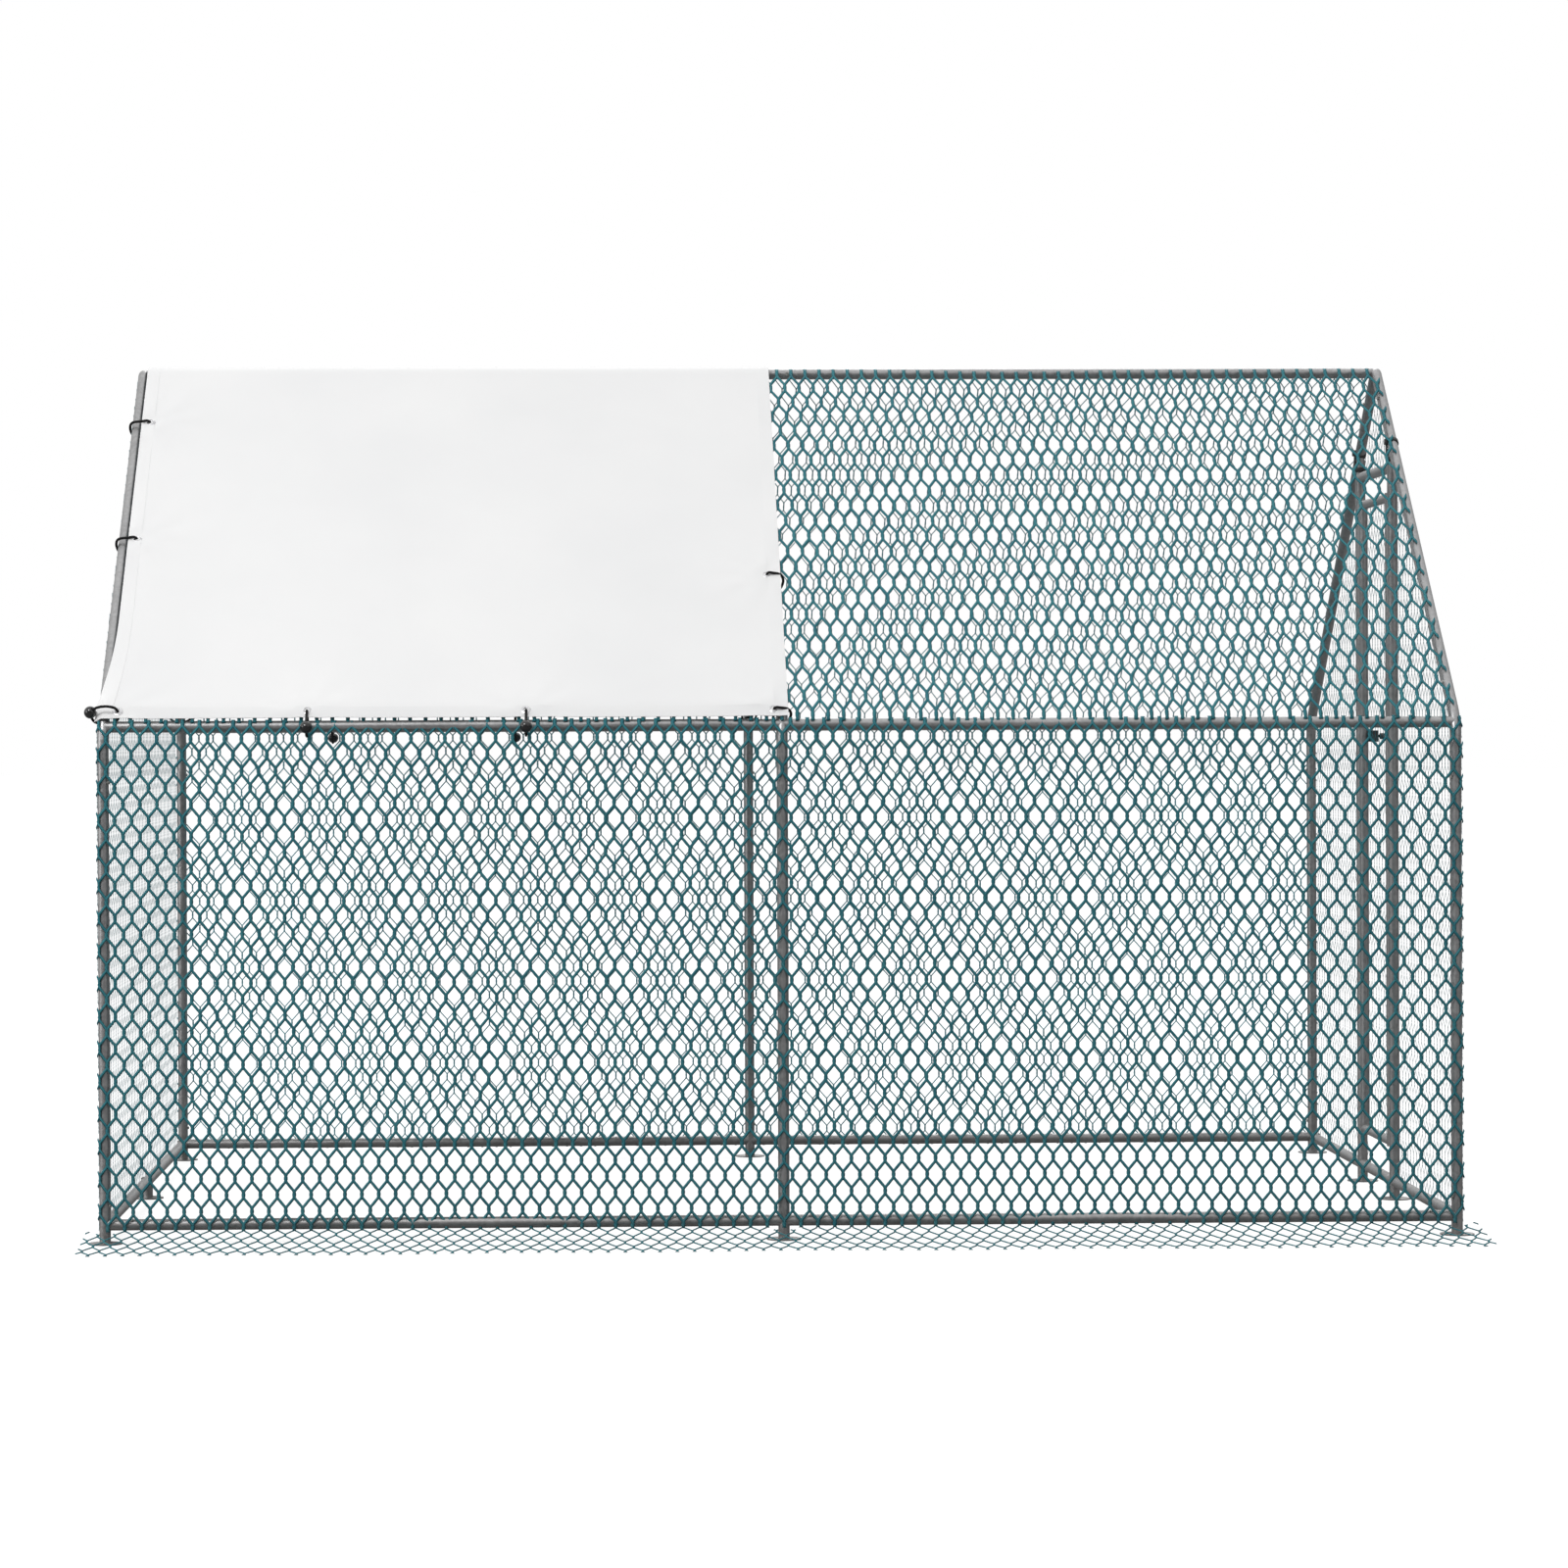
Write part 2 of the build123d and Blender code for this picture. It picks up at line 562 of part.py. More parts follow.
def clip_polygon(polygon, outline, margin):
    """Part of a convex polygon that lies a margin inside a convex outline, both anticlockwise."""
    for (ax, ay), (bx, by) in zip(outline, outline[1:] + outline[:1]):
        side = hypot(bx - ax, by - ay)
        depths = [((bx - ax) * (y - ay) - (by - ay) * (x - ax)) / side - margin for x, y in polygon]
        kept = []
        for i, (px, py) in enumerate(polygon):
            j = (i + 1) % len(polygon)
            if depths[i] >= 0:
                kept.append((px, py))
            if depths[i] * depths[j] < 0:
                share = depths[i] / (depths[i] - depths[j])
                kept.append((px + share * (polygon[j][0] - px), py + share * (polygon[j][1] - py)))
        polygon = kept
    return polygon


def polygon_area(polygon):
    """Area of an anticlockwise polygon."""
    pairs = zip(polygon, polygon[1:] + polygon[:1])
    return sum(ax * by - bx * ay for (ax, ay), (bx, by) in pairs) / 2


def hexagon_gap(x, y):
    """Corners of one gap about its centre, inside the wires' width."""
    half = (NET_CELL - NET_WIRE) / 2
    lean = NET_WIRE / 2 * hypot(1, NET_SLANT / (NET_CELL / 2))
    tip = NET_TWIST / 2 + NET_SLANT - lean
    shoulder = tip - half * NET_SLANT / (NET_CELL / 2)
    right = [(0, -tip), (half, -shoulder), (half, shoulder)]
    left = [(-dx, -dy) for dx, dy in right]
    return [(x + dx, y + dy) for dx, dy in right + left]


def net(plane, outline):
    """Flat panel of netting: an outline with hexagonal gaps, lying on the outer side of a plane."""
    row_pitch = NET_TWIST + NET_SLANT
    xs = [x for x, _ in outline]
    ys = [y for _, y in outline]
    middle = (min(xs) + max(xs)) / 2
    columns = ceil((max(xs) - min(xs)) / 2 / NET_CELL) + 1
    smallest = NET_SMALLEST * polygon_area(hexagon_gap(0, 0))
    gaps = []
    for row in range(floor(min(ys) / row_pitch) - 1, ceil(max(ys) / row_pitch) + 2):
        shift = NET_CELL / 2 if row % 2 else 0
        for column in range(-columns, columns + 1):
            whole = hexagon_gap(middle + column * NET_CELL + shift, row * row_pitch)
            gap = clip_polygon(whole, outline, NET_WIRE)
            if gap and polygon_area(gap) > smallest:
                gaps.append(Wire.make_polygon([Vector(x, y, 0) for x, y in gap]))
    print("gaps in a net:", len(gaps))
    rim = Wire.make_polygon([Vector(x, y, 0) for x, y in outline])
    return plane * extrude(Face(rim, gaps), amount=NET_THICKNESS, dir=(0, 0, 1))


def rectangle(low_x, high_x, low_y, high_y):
    return [(low_x, low_y), (high_x, low_y), (high_x, high_y), (low_x, high_y)]


def bay_range(frame, side):
    """Ends of a panel from the middle frame to an end frame, along a net that faces one side."""
    end = -side * frame * LENGTH / 2
    seam = -side * frame * NET_SEAM / 2
    return min(end, seam), max(end, seam)


def wall_net(frame, side):
    plane = Plane((0, side * (WIDTH / 2 + NET_SEAT), 0), x_dir=(-side, 0, 0), z_dir=(0, side, 0))
    return net(plane, rectangle(*bay_range(frame, side), NET_LIFT, EAVE_HEIGHT - WALL_NET_DROP))


def roof_net(frame, side):
    plane = Plane(slope_point(0, side, 0, NET_FACE), x_dir=(-side, 0, 0), z_dir=slope_normal(side))
    top = SLOPE_LENGTH + NET_FACE * tan(SLOPE) - RIDGE_NET_GAP
    return net(plane, rectangle(*bay_range(frame, side), ROOF_NET_START, top))


def gable_height(y):
    """Height of a gable net's upper edge at a place across the gable."""
    return APEX_HEIGHT - abs(y) * tan(SLOPE) + GABLE_NET_RISE / cos(SLOPE)


def gable_plane(gable):
    return Plane((gable * (LENGTH / 2 + NET_SEAT), 0, 0), x_dir=(0, gable, 0), z_dir=(gable, 0, 0))


def gable_outline(low, high, foot):
    """Outline of a gable net between two places across the gable, from a foot height up."""
    outline = [(low, foot), (high, foot), (high, gable_height(high))]
    if low < 0 < high:
        outline.append((0, gable_height(0)))
    return outline + [(low, gable_height(low))]


def right_gable_nets():
    """Nets beside the door and over it, meeting on the door posts."""
    edge = DOOR_POST_Y + NET_SEAM / 2
    inner = DOOR_POST_Y - NET_SEAM / 2
    outlines = [
        gable_outline(-WIDTH / 2, -edge, NET_LIFT),
        gable_outline(edge, WIDTH / 2, NET_LIFT),
        gable_outline(-inner, inner, LINTEL_HEIGHT),
    ]
    return [net(gable_plane(1), outline) for outline in outlines]


def door_net():
    plane = Plane((POST_X + DOOR_R + NET_SEAT, 0, 0), x_dir=(0, 1, 0), z_dir=(1, 0, 0))
    return net(plane, rectangle(-STILE_Y, STILE_Y, DOOR_LOW + DOOR_R, DOOR_HIGH - DOOR_R))


def skirt_net():
    """Net on the ground along the front, cut out round the feet."""
    inner = WIDTH / 2 + NET_SEAT + NET_THICKNESS + SKIRT_GAP
    half = LENGTH / 2 + SKIRT_SIDE
    skirt = net(Plane.XY, rectangle(-half, half, -WIDTH / 2 - SKIRT_OUT, -inner))
    for frame in FRAMES.values():
        room = Cylinder(DISC_DIAMETER / 2 + SKIRT_GAP, NET_THICKNESS, align=BASE)
        skirt -= Pos(frame * POST_X, -POST_Y, 0) * room
    return skirt


# Cover and bungees

# A tie: its eyelet's centre on the cover, the slope's side, the corners of its cord's loop,
# and the ball's centre
Tie = namedtuple("Tie", "eyelet side loop ball")

CORD_R = CORD_DIAMETER / 2
BALL_R = BALL_DIAMETER / 2
CORD_OVER = COVER_TOP + EYELET_HEIGHT + CORD_LIFT + CORD_R
CORD_ROUND = CORD_R + CORD_CLEAR
COVER_EYELET_S = EYELET_HEM  # up the slope, from the cover's lower edge at the eave corner


def rafter_tie(frame, side, up, inset, outside, ball_under):
    """Tie round a rafter, with the ball under it or beyond the cover's edge."""
    outward = -X_AXIS if frame else X_AXIS
    axis = slope_point(frame * POST_X, side, up, 0)
    normal = slope_normal(side)
    room_under = BALL_R + BALL_CLEAR if ball_under else CORD_ROUND
    low = -(RADIUS + eave_bend_sag(up - BALL_R) + room_under)
    eyelet = axis - outward * inset + normal * COVER_TOP
    loop = [axis + outward * across + normal * out
            for across, out in ((-inset, CORD_OVER), (-inset, low), (outside, low), (outside, CORD_OVER))]
    ball = axis + normal * low if ball_under else axis + outward * outside + normal * CORNER_BALL_RISE
    return Tie(eyelet, side, loop, ball)


def eave_tie(x, side):
    """Tie round the eave rail, with the ball outside the wall netting."""
    rail = eave_bend_middle(0, side)
    outside = WIDTH / 2 + NET_SEAT + NET_THICKNESS + BALL_R + BALL_CLEAR
    low = rail.Z - RADIUS - 2 * CORD_ROUND
    eyelet = slope_point(x, side, COVER_EYELET_S, COVER_TOP)
    over = slope_point(x, side, COVER_EYELET_S, CORD_OVER)
    drop = (over.Z - low) / cos(SLOPE)
    inner = over - slope_normal(side) * drop
    past_edge = (outside - abs(over.Y)) / cos(SLOPE)
    edge = over - up_slope(side) * past_edge
    corner = Vector(x, side * outside, low)
    ball = Vector(x, side * outside, (low + edge.Z) / 2)
    return Tie(eyelet, side, [over, inner, corner, edge], ball)


def all_ties():
    """Ties of both slopes: down the left and right edges, at the corners and along the eaves."""
    ties = []
    left_inset = COVER_INSET + EYELET_HEM
    left_out = NET_OUTSIDE + CORD_ROUND
    corner_out = NET_OUTSIDE + BALL_R + BALL_CLEAR
    right_out = COVER_OVERHANG + CORD_ROUND
    width = COVER_OVERHANG - COVER_LEFT
    for side in FRONT_AND_BACK.values():
        for share in LEFT_TIES:
            ties.append(rafter_tie(-1, side, SLOPE_LENGTH * (1 - share), left_inset, left_out, True))
        ties.append(rafter_tie(-1, side, COVER_EYELET_S, left_inset, corner_out, False))
        for share in RIGHT_TIES:
            ties.append(rafter_tie(0, side, SLOPE_LENGTH * (1 - share), EYELET_PAST_RAFTER, right_out, True))
        ties.append(rafter_tie(0, side, COVER_EYELET_S, EYELET_PAST_RAFTER, right_out, True))
        for share in EAVE_TIES:
            ties.append(eave_tie(COVER_LEFT + width * share, side))
    return ties


def cord_loop(tie, radius):
    """Closed loop of cord through an eyelet and round a tube."""
    path = FilletPolyline(*tie.loop, radius=CORD_BEND, close=True).wire()
    section = Plane(path @ 0, z_dir=path % 0) * Circle(radius)
    return sweep(section, path=path)


def bungee_cord(tie):
    """Loop of cord whose two ends go into its ball."""
    return cord_loop(tie, CORD_R) - Pos(tie.ball) * Sphere(BALL_R + BALL_SEAT)


def bungee_ball(tie):
    return Pos(tie.ball) * Sphere(BALL_R)


def eyelet(tie):
    """Metal eyelet: a flange on the cover and a barrel through it."""
    flange = Cylinder(EYELET_FLANGE / 2, EYELET_HEIGHT, align=BASE)
    barrel = Cylinder(EYELET_BARREL / 2, COVER_THICKNESS, align=(Align.CENTER, Align.CENTER, Align.MAX))
    bore = Cylinder(EYELET_BORE / 2, 2 * (EYELET_HEIGHT + COVER_THICKNESS))
    return Plane(tie.eyelet, z_dir=slope_normal(tie.side)) * (flange + barrel - bore)


def roof_cover(ties):
    """Sheet folded over the ridge, with a hole for each eyelet."""
    section = [slope_point(0, -1, 0, COVER_FACE)]
    section.append(Vector(0, 0, APEX_HEIGHT + COVER_FACE / cos(SLOPE)))
    section.append(slope_point(0, 1, 0, COVER_FACE))
    section.append(slope_point(0, 1, 0, COVER_TOP))
    section.append(Vector(0, 0, APEX_HEIGHT + COVER_TOP / cos(SLOPE)))
    section.append(slope_point(0, -1, 0, COVER_TOP))
    face = Face(Wire.make_polygon(section))
    sheet = Pos(COVER_LEFT, 0, 0) * extrude(face, amount=COVER_OVERHANG - COVER_LEFT, dir=(1, 0, 0))
    for tie in ties:
        hole = Cylinder(EYELET_BARREL / 2 + EYELET_FIT, 3 * COVER_THICKNESS)
        sheet -= Plane(tie.eyelet, z_dir=slope_normal(tie.side)) * hole
    return sheet


def with_passages(panel, ties):
    """Netting with its wires parted where the cords go through."""
    for tie in ties:
        panel -= cord_loop(tie, CORD_R + CORD_PASSAGE)
    return panel


# Assembly

def frame_tubes():
    """Every tube of the frame that sits between two sockets, as pairs of mouths by name."""
    tubes = {}
    for side_name, side in FRONT_AND_BACK.items():
        for name, frame in FRAMES.items():
            post = (post_foot_mouth(frame, side), eave_post_mouth(frame, side))
            tubes["post_" + side_name + "_" + name] = [post]
        tubes["bottom_rails_" + side_name] = [
            (long_rail_mouth(-1, side, 1), long_rail_mouth(0, side, -1)),
            (long_rail_mouth(0, side, 1), long_rail_mouth(1, side, -1)),
        ]
        tubes["eave_rails_" + side_name] = [
            (eave_rail_mouth(-1, side, 1), eave_rail_mouth(0, side, -1)),
            (eave_rail_mouth(0, side, 1), eave_rail_mouth(1, side, -1)),
        ]
    for name, frame in FRAMES.items():
        tubes["rafters_" + name] = [
            (eave_rafter_mouth(frame, side), ridge_rafter_mouth(frame, side)) for side in (-1, 1)
        ]
    tubes["ridge_rails"] = [
        (ridge_rail_mouth(-1, 1), ridge_rail_mouth(0, -1)),
        (ridge_rail_mouth(0, 1), ridge_rail_mouth(1, -1)),
    ]
    tubes["bottom_rails_left"] = [
        (gable_rail_mouth(-1, -POST_Y, 1), gable_rail_mouth(-1, 0, -1)),
        (gable_rail_mouth(-1, 0, 1), gable_rail_mouth(-1, POST_Y, -1)),
    ]
    tubes["bottom_rails_right"] = [
        (gable_rail_mouth(1, -POST_Y, 1), gable_rail_mouth(1, -DOOR_POST_Y, -1)),
        (gable_rail_mouth(1, DOOR_POST_Y, 1), gable_rail_mouth(1, POST_Y, -1)),
    ]
    tubes["door_sill"] = [(gable_rail_mouth(1, -DOOR_POST_Y, 1), gable_rail_mouth(1, DOOR_POST_Y, -1))]
    return tubes


def build():
    """All nodes of the coop: each a name and its list of solids."""
    nodes = {}
    mouths = [door_foot_mouth(side) for side in (-1, 1)]
    for name, pairs in frame_tubes().items():
        nodes[name] = [tube_between(*pair) for pair in pairs]
        mouths += [mouth for pair in pairs for mouth in pair]
    nodes["frame_screws"] = [screw(mouth) for mouth in mouths]

    corners = [(frame, side) for frame in (-1, 1) for side in (-1, 1)]
    nodes["foot_sockets_corner"] = [corner_foot(*corner) for corner in corners]
    nodes["foot_sockets_middle"] = [middle_foot(-1), middle_foot(1), left_gable_foot()]
    nodes["foot_sockets_door"] = [door_foot(-1), door_foot(1)]
    nodes["eave_brackets_corner"] = [eave_bracket(*corner) for corner in corners]
    nodes["eave_brackets_middle"] = [eave_bracket(0, side) for side in (-1, 1)]
    nodes["ridge_brackets"] = [ridge_bracket(frame) for frame in FRAMES.values()]

    for side_name, side in FRONT_AND_BACK.items():
        nodes["door_post_" + side_name] = [door_post(side)]
    nodes["door_lintel"] = [lintel()]
    nodes["door_post_clips"] = [door_post_clip(side) for side in (-1, 1)]

    nodes["door_stile_hinge"] = [door_stile(-1)]
    nodes["door_stile_latch"] = [door_stile(1)]
    nodes["door_rail_bottom"] = [door_rail(DOOR_LOW + DOOR_R)]
    nodes["door_rail_top"] = [door_rail(DOOR_HIGH - DOOR_R)]
    nodes["door_net"] = [door_net()]
    hinges = (DOOR_LOW + HINGE_INSET, DOOR_HIGH - HINGE_INSET)
    nodes["hinge_lugs"] = [hinge_lug(height) for height in hinges]
    nodes["hinge_pins"] = [hinge_pin(height) for height in hinges]
    nodes["hinge_eyes"] = [hinge_eye(height) for height in hinges]
    nodes["latch_body"] = [latch_body()]
    nodes["latch_bolt"] = [latch_bolt()]
    nodes["latch_keeper"] = [latch_keeper()]

    ties = all_ties()
    for side_name, side in FRONT_AND_BACK.items():
        slope_ties = [tie for tie in ties if tie.side == side]
        for name, frame in (("left", -1), ("right", 1)):
            place = side_name + "_" + name
            nodes["wall_net_" + place] = [with_passages(wall_net(frame, side), slope_ties)]
            nodes["roof_net_" + place] = [with_passages(roof_net(frame, side), slope_ties)]
    left_gable = net(gable_plane(-1), gable_outline(-WIDTH / 2, WIDTH / 2, NET_LIFT))
    nodes["left_gable_net"] = [with_passages(left_gable, ties)]
    nodes["right_gable_nets"] = right_gable_nets()
    nodes["skirt_net"] = [skirt_net()]

    nodes["roof_cover"] = [roof_cover(ties)]
    nodes["cover_eyelets"] = [eyelet(tie) for tie in ties]
    nodes["bungee_cords"] = [bungee_cord(tie) for tie in ties]
    nodes["bungee_balls"] = [bungee_ball(tie) for tie in ties]
    return nodes


os.makedirs("parts", exist_ok=True)
for node, shapes in build().items():
    solids = [solid for shape in shapes for solid in shape.solids()]
    export_step(Compound(solids), "parts/" + node + ".step", write_pcurves=False)
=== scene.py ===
"""Looks of a walk-in chicken coop: finishes, netting, roof cover, ties, light and camera."""

import json
import logging
import math
from dataclasses import dataclass, replace
from enum import Enum
from typing import Callable, Optional, Sequence

import bmesh
import bpy
import numpy as np
from mathutils import Matrix, Vector


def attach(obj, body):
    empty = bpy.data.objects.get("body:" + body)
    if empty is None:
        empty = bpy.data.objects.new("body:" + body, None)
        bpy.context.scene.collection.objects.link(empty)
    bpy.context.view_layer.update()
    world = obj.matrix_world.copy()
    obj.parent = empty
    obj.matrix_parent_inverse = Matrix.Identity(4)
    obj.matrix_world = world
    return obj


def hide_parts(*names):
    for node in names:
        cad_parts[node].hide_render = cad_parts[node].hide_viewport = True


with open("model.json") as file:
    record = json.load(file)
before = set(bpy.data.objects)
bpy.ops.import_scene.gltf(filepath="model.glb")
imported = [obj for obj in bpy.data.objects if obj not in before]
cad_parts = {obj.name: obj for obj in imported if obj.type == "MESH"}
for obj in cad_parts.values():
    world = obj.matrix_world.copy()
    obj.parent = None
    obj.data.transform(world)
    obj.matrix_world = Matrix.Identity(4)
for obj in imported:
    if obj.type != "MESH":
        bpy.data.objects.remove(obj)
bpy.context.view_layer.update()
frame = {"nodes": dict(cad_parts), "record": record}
LOG = logging.getLogger("coop")

Pair = tuple[float, float]
Triple = tuple[float, float, float]
Colour = Triple
Outline = Sequence[Pair]
Array = np.ndarray
Shape = bmesh.types.BMesh
Piece = bpy.types.Object
Socket = bpy.types.NodeSocket

UP = Vector((0.0, 0.0, 1.0))
WHITE = (1.0, 1.0, 1.0, 1.0)
SAME_POINT = 1e-6
WELD = 1e-5
LEVEL = 1e-7


class Side(Enum):
    """A long side of the coop, with the sign of its Y."""

    FRONT = -1
    BACK = 1


class Bay(Enum):
    """Half of a long side, with the sign of its X."""

    LEFT = -1
    RIGHT = 1


@dataclass(frozen=True)
class TubeFrame:
    """Sizes of the tube frame that every other piece is fitted to, in metres and radians."""

    post_x: float = 1.4875
    post_y: float = 0.9875
    tube: float = 0.0125
    eave: float = 1.136
    slope: float = math.radians(40.7)
    eave_bend: float = 0.1
    ridge_bend: float = 0.02

    @property
    def apex(self) -> float:
        """Height at which the rafters' axes would meet."""
        return self.eave + self.post_y * math.tan(self.slope)

    @property
    def slope_length(self) -> float:
        """Length of a rafter's axis from the eave corner to the apex."""
        return self.post_y / math.cos(self.slope)

    @property
    def eave_turn(self) -> float:
        """Angle that the eave brackets turn through."""
        return math.pi / 2 - self.slope

    @property
    def eave_tangent(self) -> float:
        """Distance from the eave corner to either end of the bracket's bend."""
        return self.eave_bend * math.tan(self.eave_turn / 2)

    def normal(self, side: int) -> Vector:
        """Outward normal of a roof slope."""
        return Vector((0.0, side * math.sin(self.slope), math.cos(self.slope)))

    def upward(self, side: int) -> Vector:
        """Direction up a roof slope."""
        return Vector((0.0, -side * math.cos(self.slope), math.sin(self.slope)))

    def on_slope(self, x: float, side: int, up: float, out: float) -> Vector:
        """Point on a roof slope.

        Args:
            x: Place along the coop.
            side: Sign of the slope's Y.
            up: Distance up the slope from the eave corner.
            out: Distance outwards from the rafters' axes.

        Returns:
            The point in the coop's frame.
        """
        corner = Vector((x, side * self.post_y, self.eave))
        return corner + self.upward(side) * up + self.normal(side) * out


TUBES = TubeFrame()


@dataclass(frozen=True)
class RoofLine:
    """Line from the ridge down a slope, round the eave and down the wall, at a lift over the tubes' axes."""

    lift: float

    @property
    def ridge_arc(self) -> float:
        """Length of the line round one half of the ridge."""
        return (TUBES.ridge_bend + self.lift) * TUBES.slope

    @property
    def slope_run(self) -> float:
        """Length of the straight stretch down the slope."""
        return TUBES.slope_length - TUBES.ridge_bend * math.tan(TUBES.slope) - TUBES.eave_tangent

    @property
    def eave_arc(self) -> float:
        """Length of the line round the eave."""
        return (TUBES.eave_bend + self.lift) * TUBES.eave_turn

    @property
    def eave_start(self) -> float:
        """Distance from the ridge to the start of the eave's bend."""
        return self.ridge_arc + self.slope_run

    @property
    def eave_middle(self) -> float:
        """Distance from the ridge to the middle of the eave's bend, beside the eave rail."""
        return self.eave_start + self.eave_arc / 2

    @property
    def wall_start(self) -> float:
        """Distance from the ridge to the top of the straight wall."""
        return self.eave_start + self.eave_arc

    def down_to(self, height: float) -> float:
        """Distance along the line to a height on the wall."""
        return self.wall_start + TUBES.eave - TUBES.eave_tangent - height

    def at_slope(self, up: float) -> float:
        """Distance along the line to a place up the slope, measured from the eave corner."""
        return self.eave_start + TUBES.eave_tangent - up

    def place(self, along: Array, out: Array) -> tuple[Array, Array]:
        """Places points on the line.

        Args:
            along: Distances from the ridge.
            out: Distances outwards from the line.

        Returns:
            Distances from the ridge's plane and heights.
        """
        ridge_r = TUBES.ridge_bend + self.lift
        eave_r = TUBES.eave_bend + self.lift
        round_ridge = np.clip(along, None, self.ridge_arc) / ridge_r
        down_slope = np.clip(along - self.ridge_arc, 0.0, self.slope_run)
        round_eave = np.clip(along - self.eave_start, 0.0, self.eave_arc) / eave_r
        down_wall = np.clip(along - self.wall_start, 0.0, None)
        angle = round_ridge + round_eave
        on_ridge = along < self.eave_start
        centre_h = np.where(on_ridge, 0.0, TUBES.post_y - TUBES.eave_bend)
        centre_z = np.where(on_ridge, TUBES.apex - TUBES.ridge_bend / math.cos(TUBES.slope),
                            TUBES.eave - TUBES.eave_tangent)
        radius = np.where(on_ridge, ridge_r, eave_r) + out
        run = np.where(on_ridge, down_slope, 0.0)
        h = centre_h + radius * np.sin(angle) + run * math.cos(TUBES.slope)
        z = centre_z + radius * np.cos(angle) - run * math.sin(TUBES.slope) - down_wall
        return h, z


def round_posts(x: Array, out: Array, lift: float) -> tuple[Array, Array]:
    """Wraps what reaches past the end frames round their tubes.

    Args:
        x: Places along the coop.
        out: Distances outwards from the sheet's line.
        lift: Height of that line over the tubes' axes.

    Returns:
        The wrapped places and distances.
    """
    past = np.clip(np.abs(x) - TUBES.post_x, 0.0, None)
    turn = past / lift
    wrapped = np.sign(x) * (np.minimum(np.abs(x), TUBES.post_x) + (lift + out) * np.sin(turn))
    return wrapped, (lift + out) * np.cos(turn) - lift


def new_piece(bm: Shape, name: str, material: bpy.types.Material, smooth: bool = True) -> Piece:
    """Makes an object of a finished bmesh.

    Args:
        bm: The shape, in the coop's frame. It is freed.
        name: Name of the piece.
        material: Its finish.
        smooth: Whether the faces are shaded smooth.

    Returns:
        The object, at the origin.
    """
    mesh = bpy.data.meshes.new(name)
    for face in bm.faces:
        face.smooth = smooth
    bm.to_mesh(mesh)
    bm.free()
    mesh.materials.append(material)
    piece = bpy.data.objects.new(name, mesh)
    bpy.context.scene.collection.objects.link(piece)
    LOG.info("%s: %d faces", name, len(mesh.polygons))
    return piece


def settle(piece: Piece, body: str, node: Optional[str] = None) -> None:
    """Tells the frame where a piece belongs.

    Args:
        piece: The piece.
        body: The body that it moves with.
        node: The solid that it stands for, if any.
    """
    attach(piece, body)
    if node:
        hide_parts(node)


def everything(bm: Shape) -> list:
    """All vertices, edges and faces of a bmesh."""
    return [*bm.verts, *bm.edges, *bm.faces]


def of_kind(geom: Sequence, kind: type) -> list:
    """Elements of one kind among a bmesh operator's results."""
    return [element for element in geom if isinstance(element, kind)]


def add_shifted(bm: Shape, geom: list, shift: Sequence[float]) -> None:
    """Duplicates some of a bmesh and moves the duplicate."""
    made = bmesh.ops.duplicate(bm, geom=geom)["geom"]
    bmesh.ops.translate(bm, vec=shift, verts=of_kind(made, bmesh.types.BMVert))


def move_points(bm: Shape, place: Callable[[Array], Array]) -> None:
    """Moves every vertex of a bmesh at once.

    Args:
        bm: The shape.
        place: Gives the new places for an array of old ones.
    """
    spots = place(np.array([vert.co[:] for vert in bm.verts]))
    for vert, spot in zip(bm.verts, spots):
        vert.co = spot


def spun(profile: Sequence[Pair], steps: int) -> Shape:
    """Turned shape about the Z axis.

    Args:
        profile: Radii and heights of the outline, in order.
        steps: Number of steps round.

    Returns:
        The shape, closed where the outline starts and ends on the axis or meets itself.
    """
    bm = bmesh.new()
    verts = [bm.verts.new((radius, 0.0, height)) for radius, height in profile]
    edges = [bm.edges.new(pair) for pair in zip(verts, verts[1:])]
    bmesh.ops.spin(bm, geom=[*verts, *edges], cent=(0, 0, 0), axis=(0, 0, 1), angle=math.tau, steps=steps,
                   use_merge=True)
    bmesh.ops.remove_doubles(bm, verts=bm.verts[:], dist=SAME_POINT)
    bmesh.ops.recalc_face_normals(bm, faces=bm.faces[:])
    return bm


def add_copy(target: Shape, source: Shape, matrix: Matrix) -> None:
    """Adds a placed copy of one bmesh to another.

    Args:
        target: The bmesh that grows.
        source: The shape to copy.
        matrix: Its place.
    """
    mesh = bpy.data.meshes.new("copy")
    source.to_mesh(mesh)
    mesh.transform(matrix)
    target.from_mesh(mesh)
    bpy.data.meshes.remove(mesh)


def facing(point: Vector, normal: Vector) -> Matrix:
    """Matrix that sets a shape at a point with its Z axis along a normal."""
    return Matrix.Translation(point) @ normal.to_track_quat("Z", "X").to_matrix().to_4x4()


# Finishes


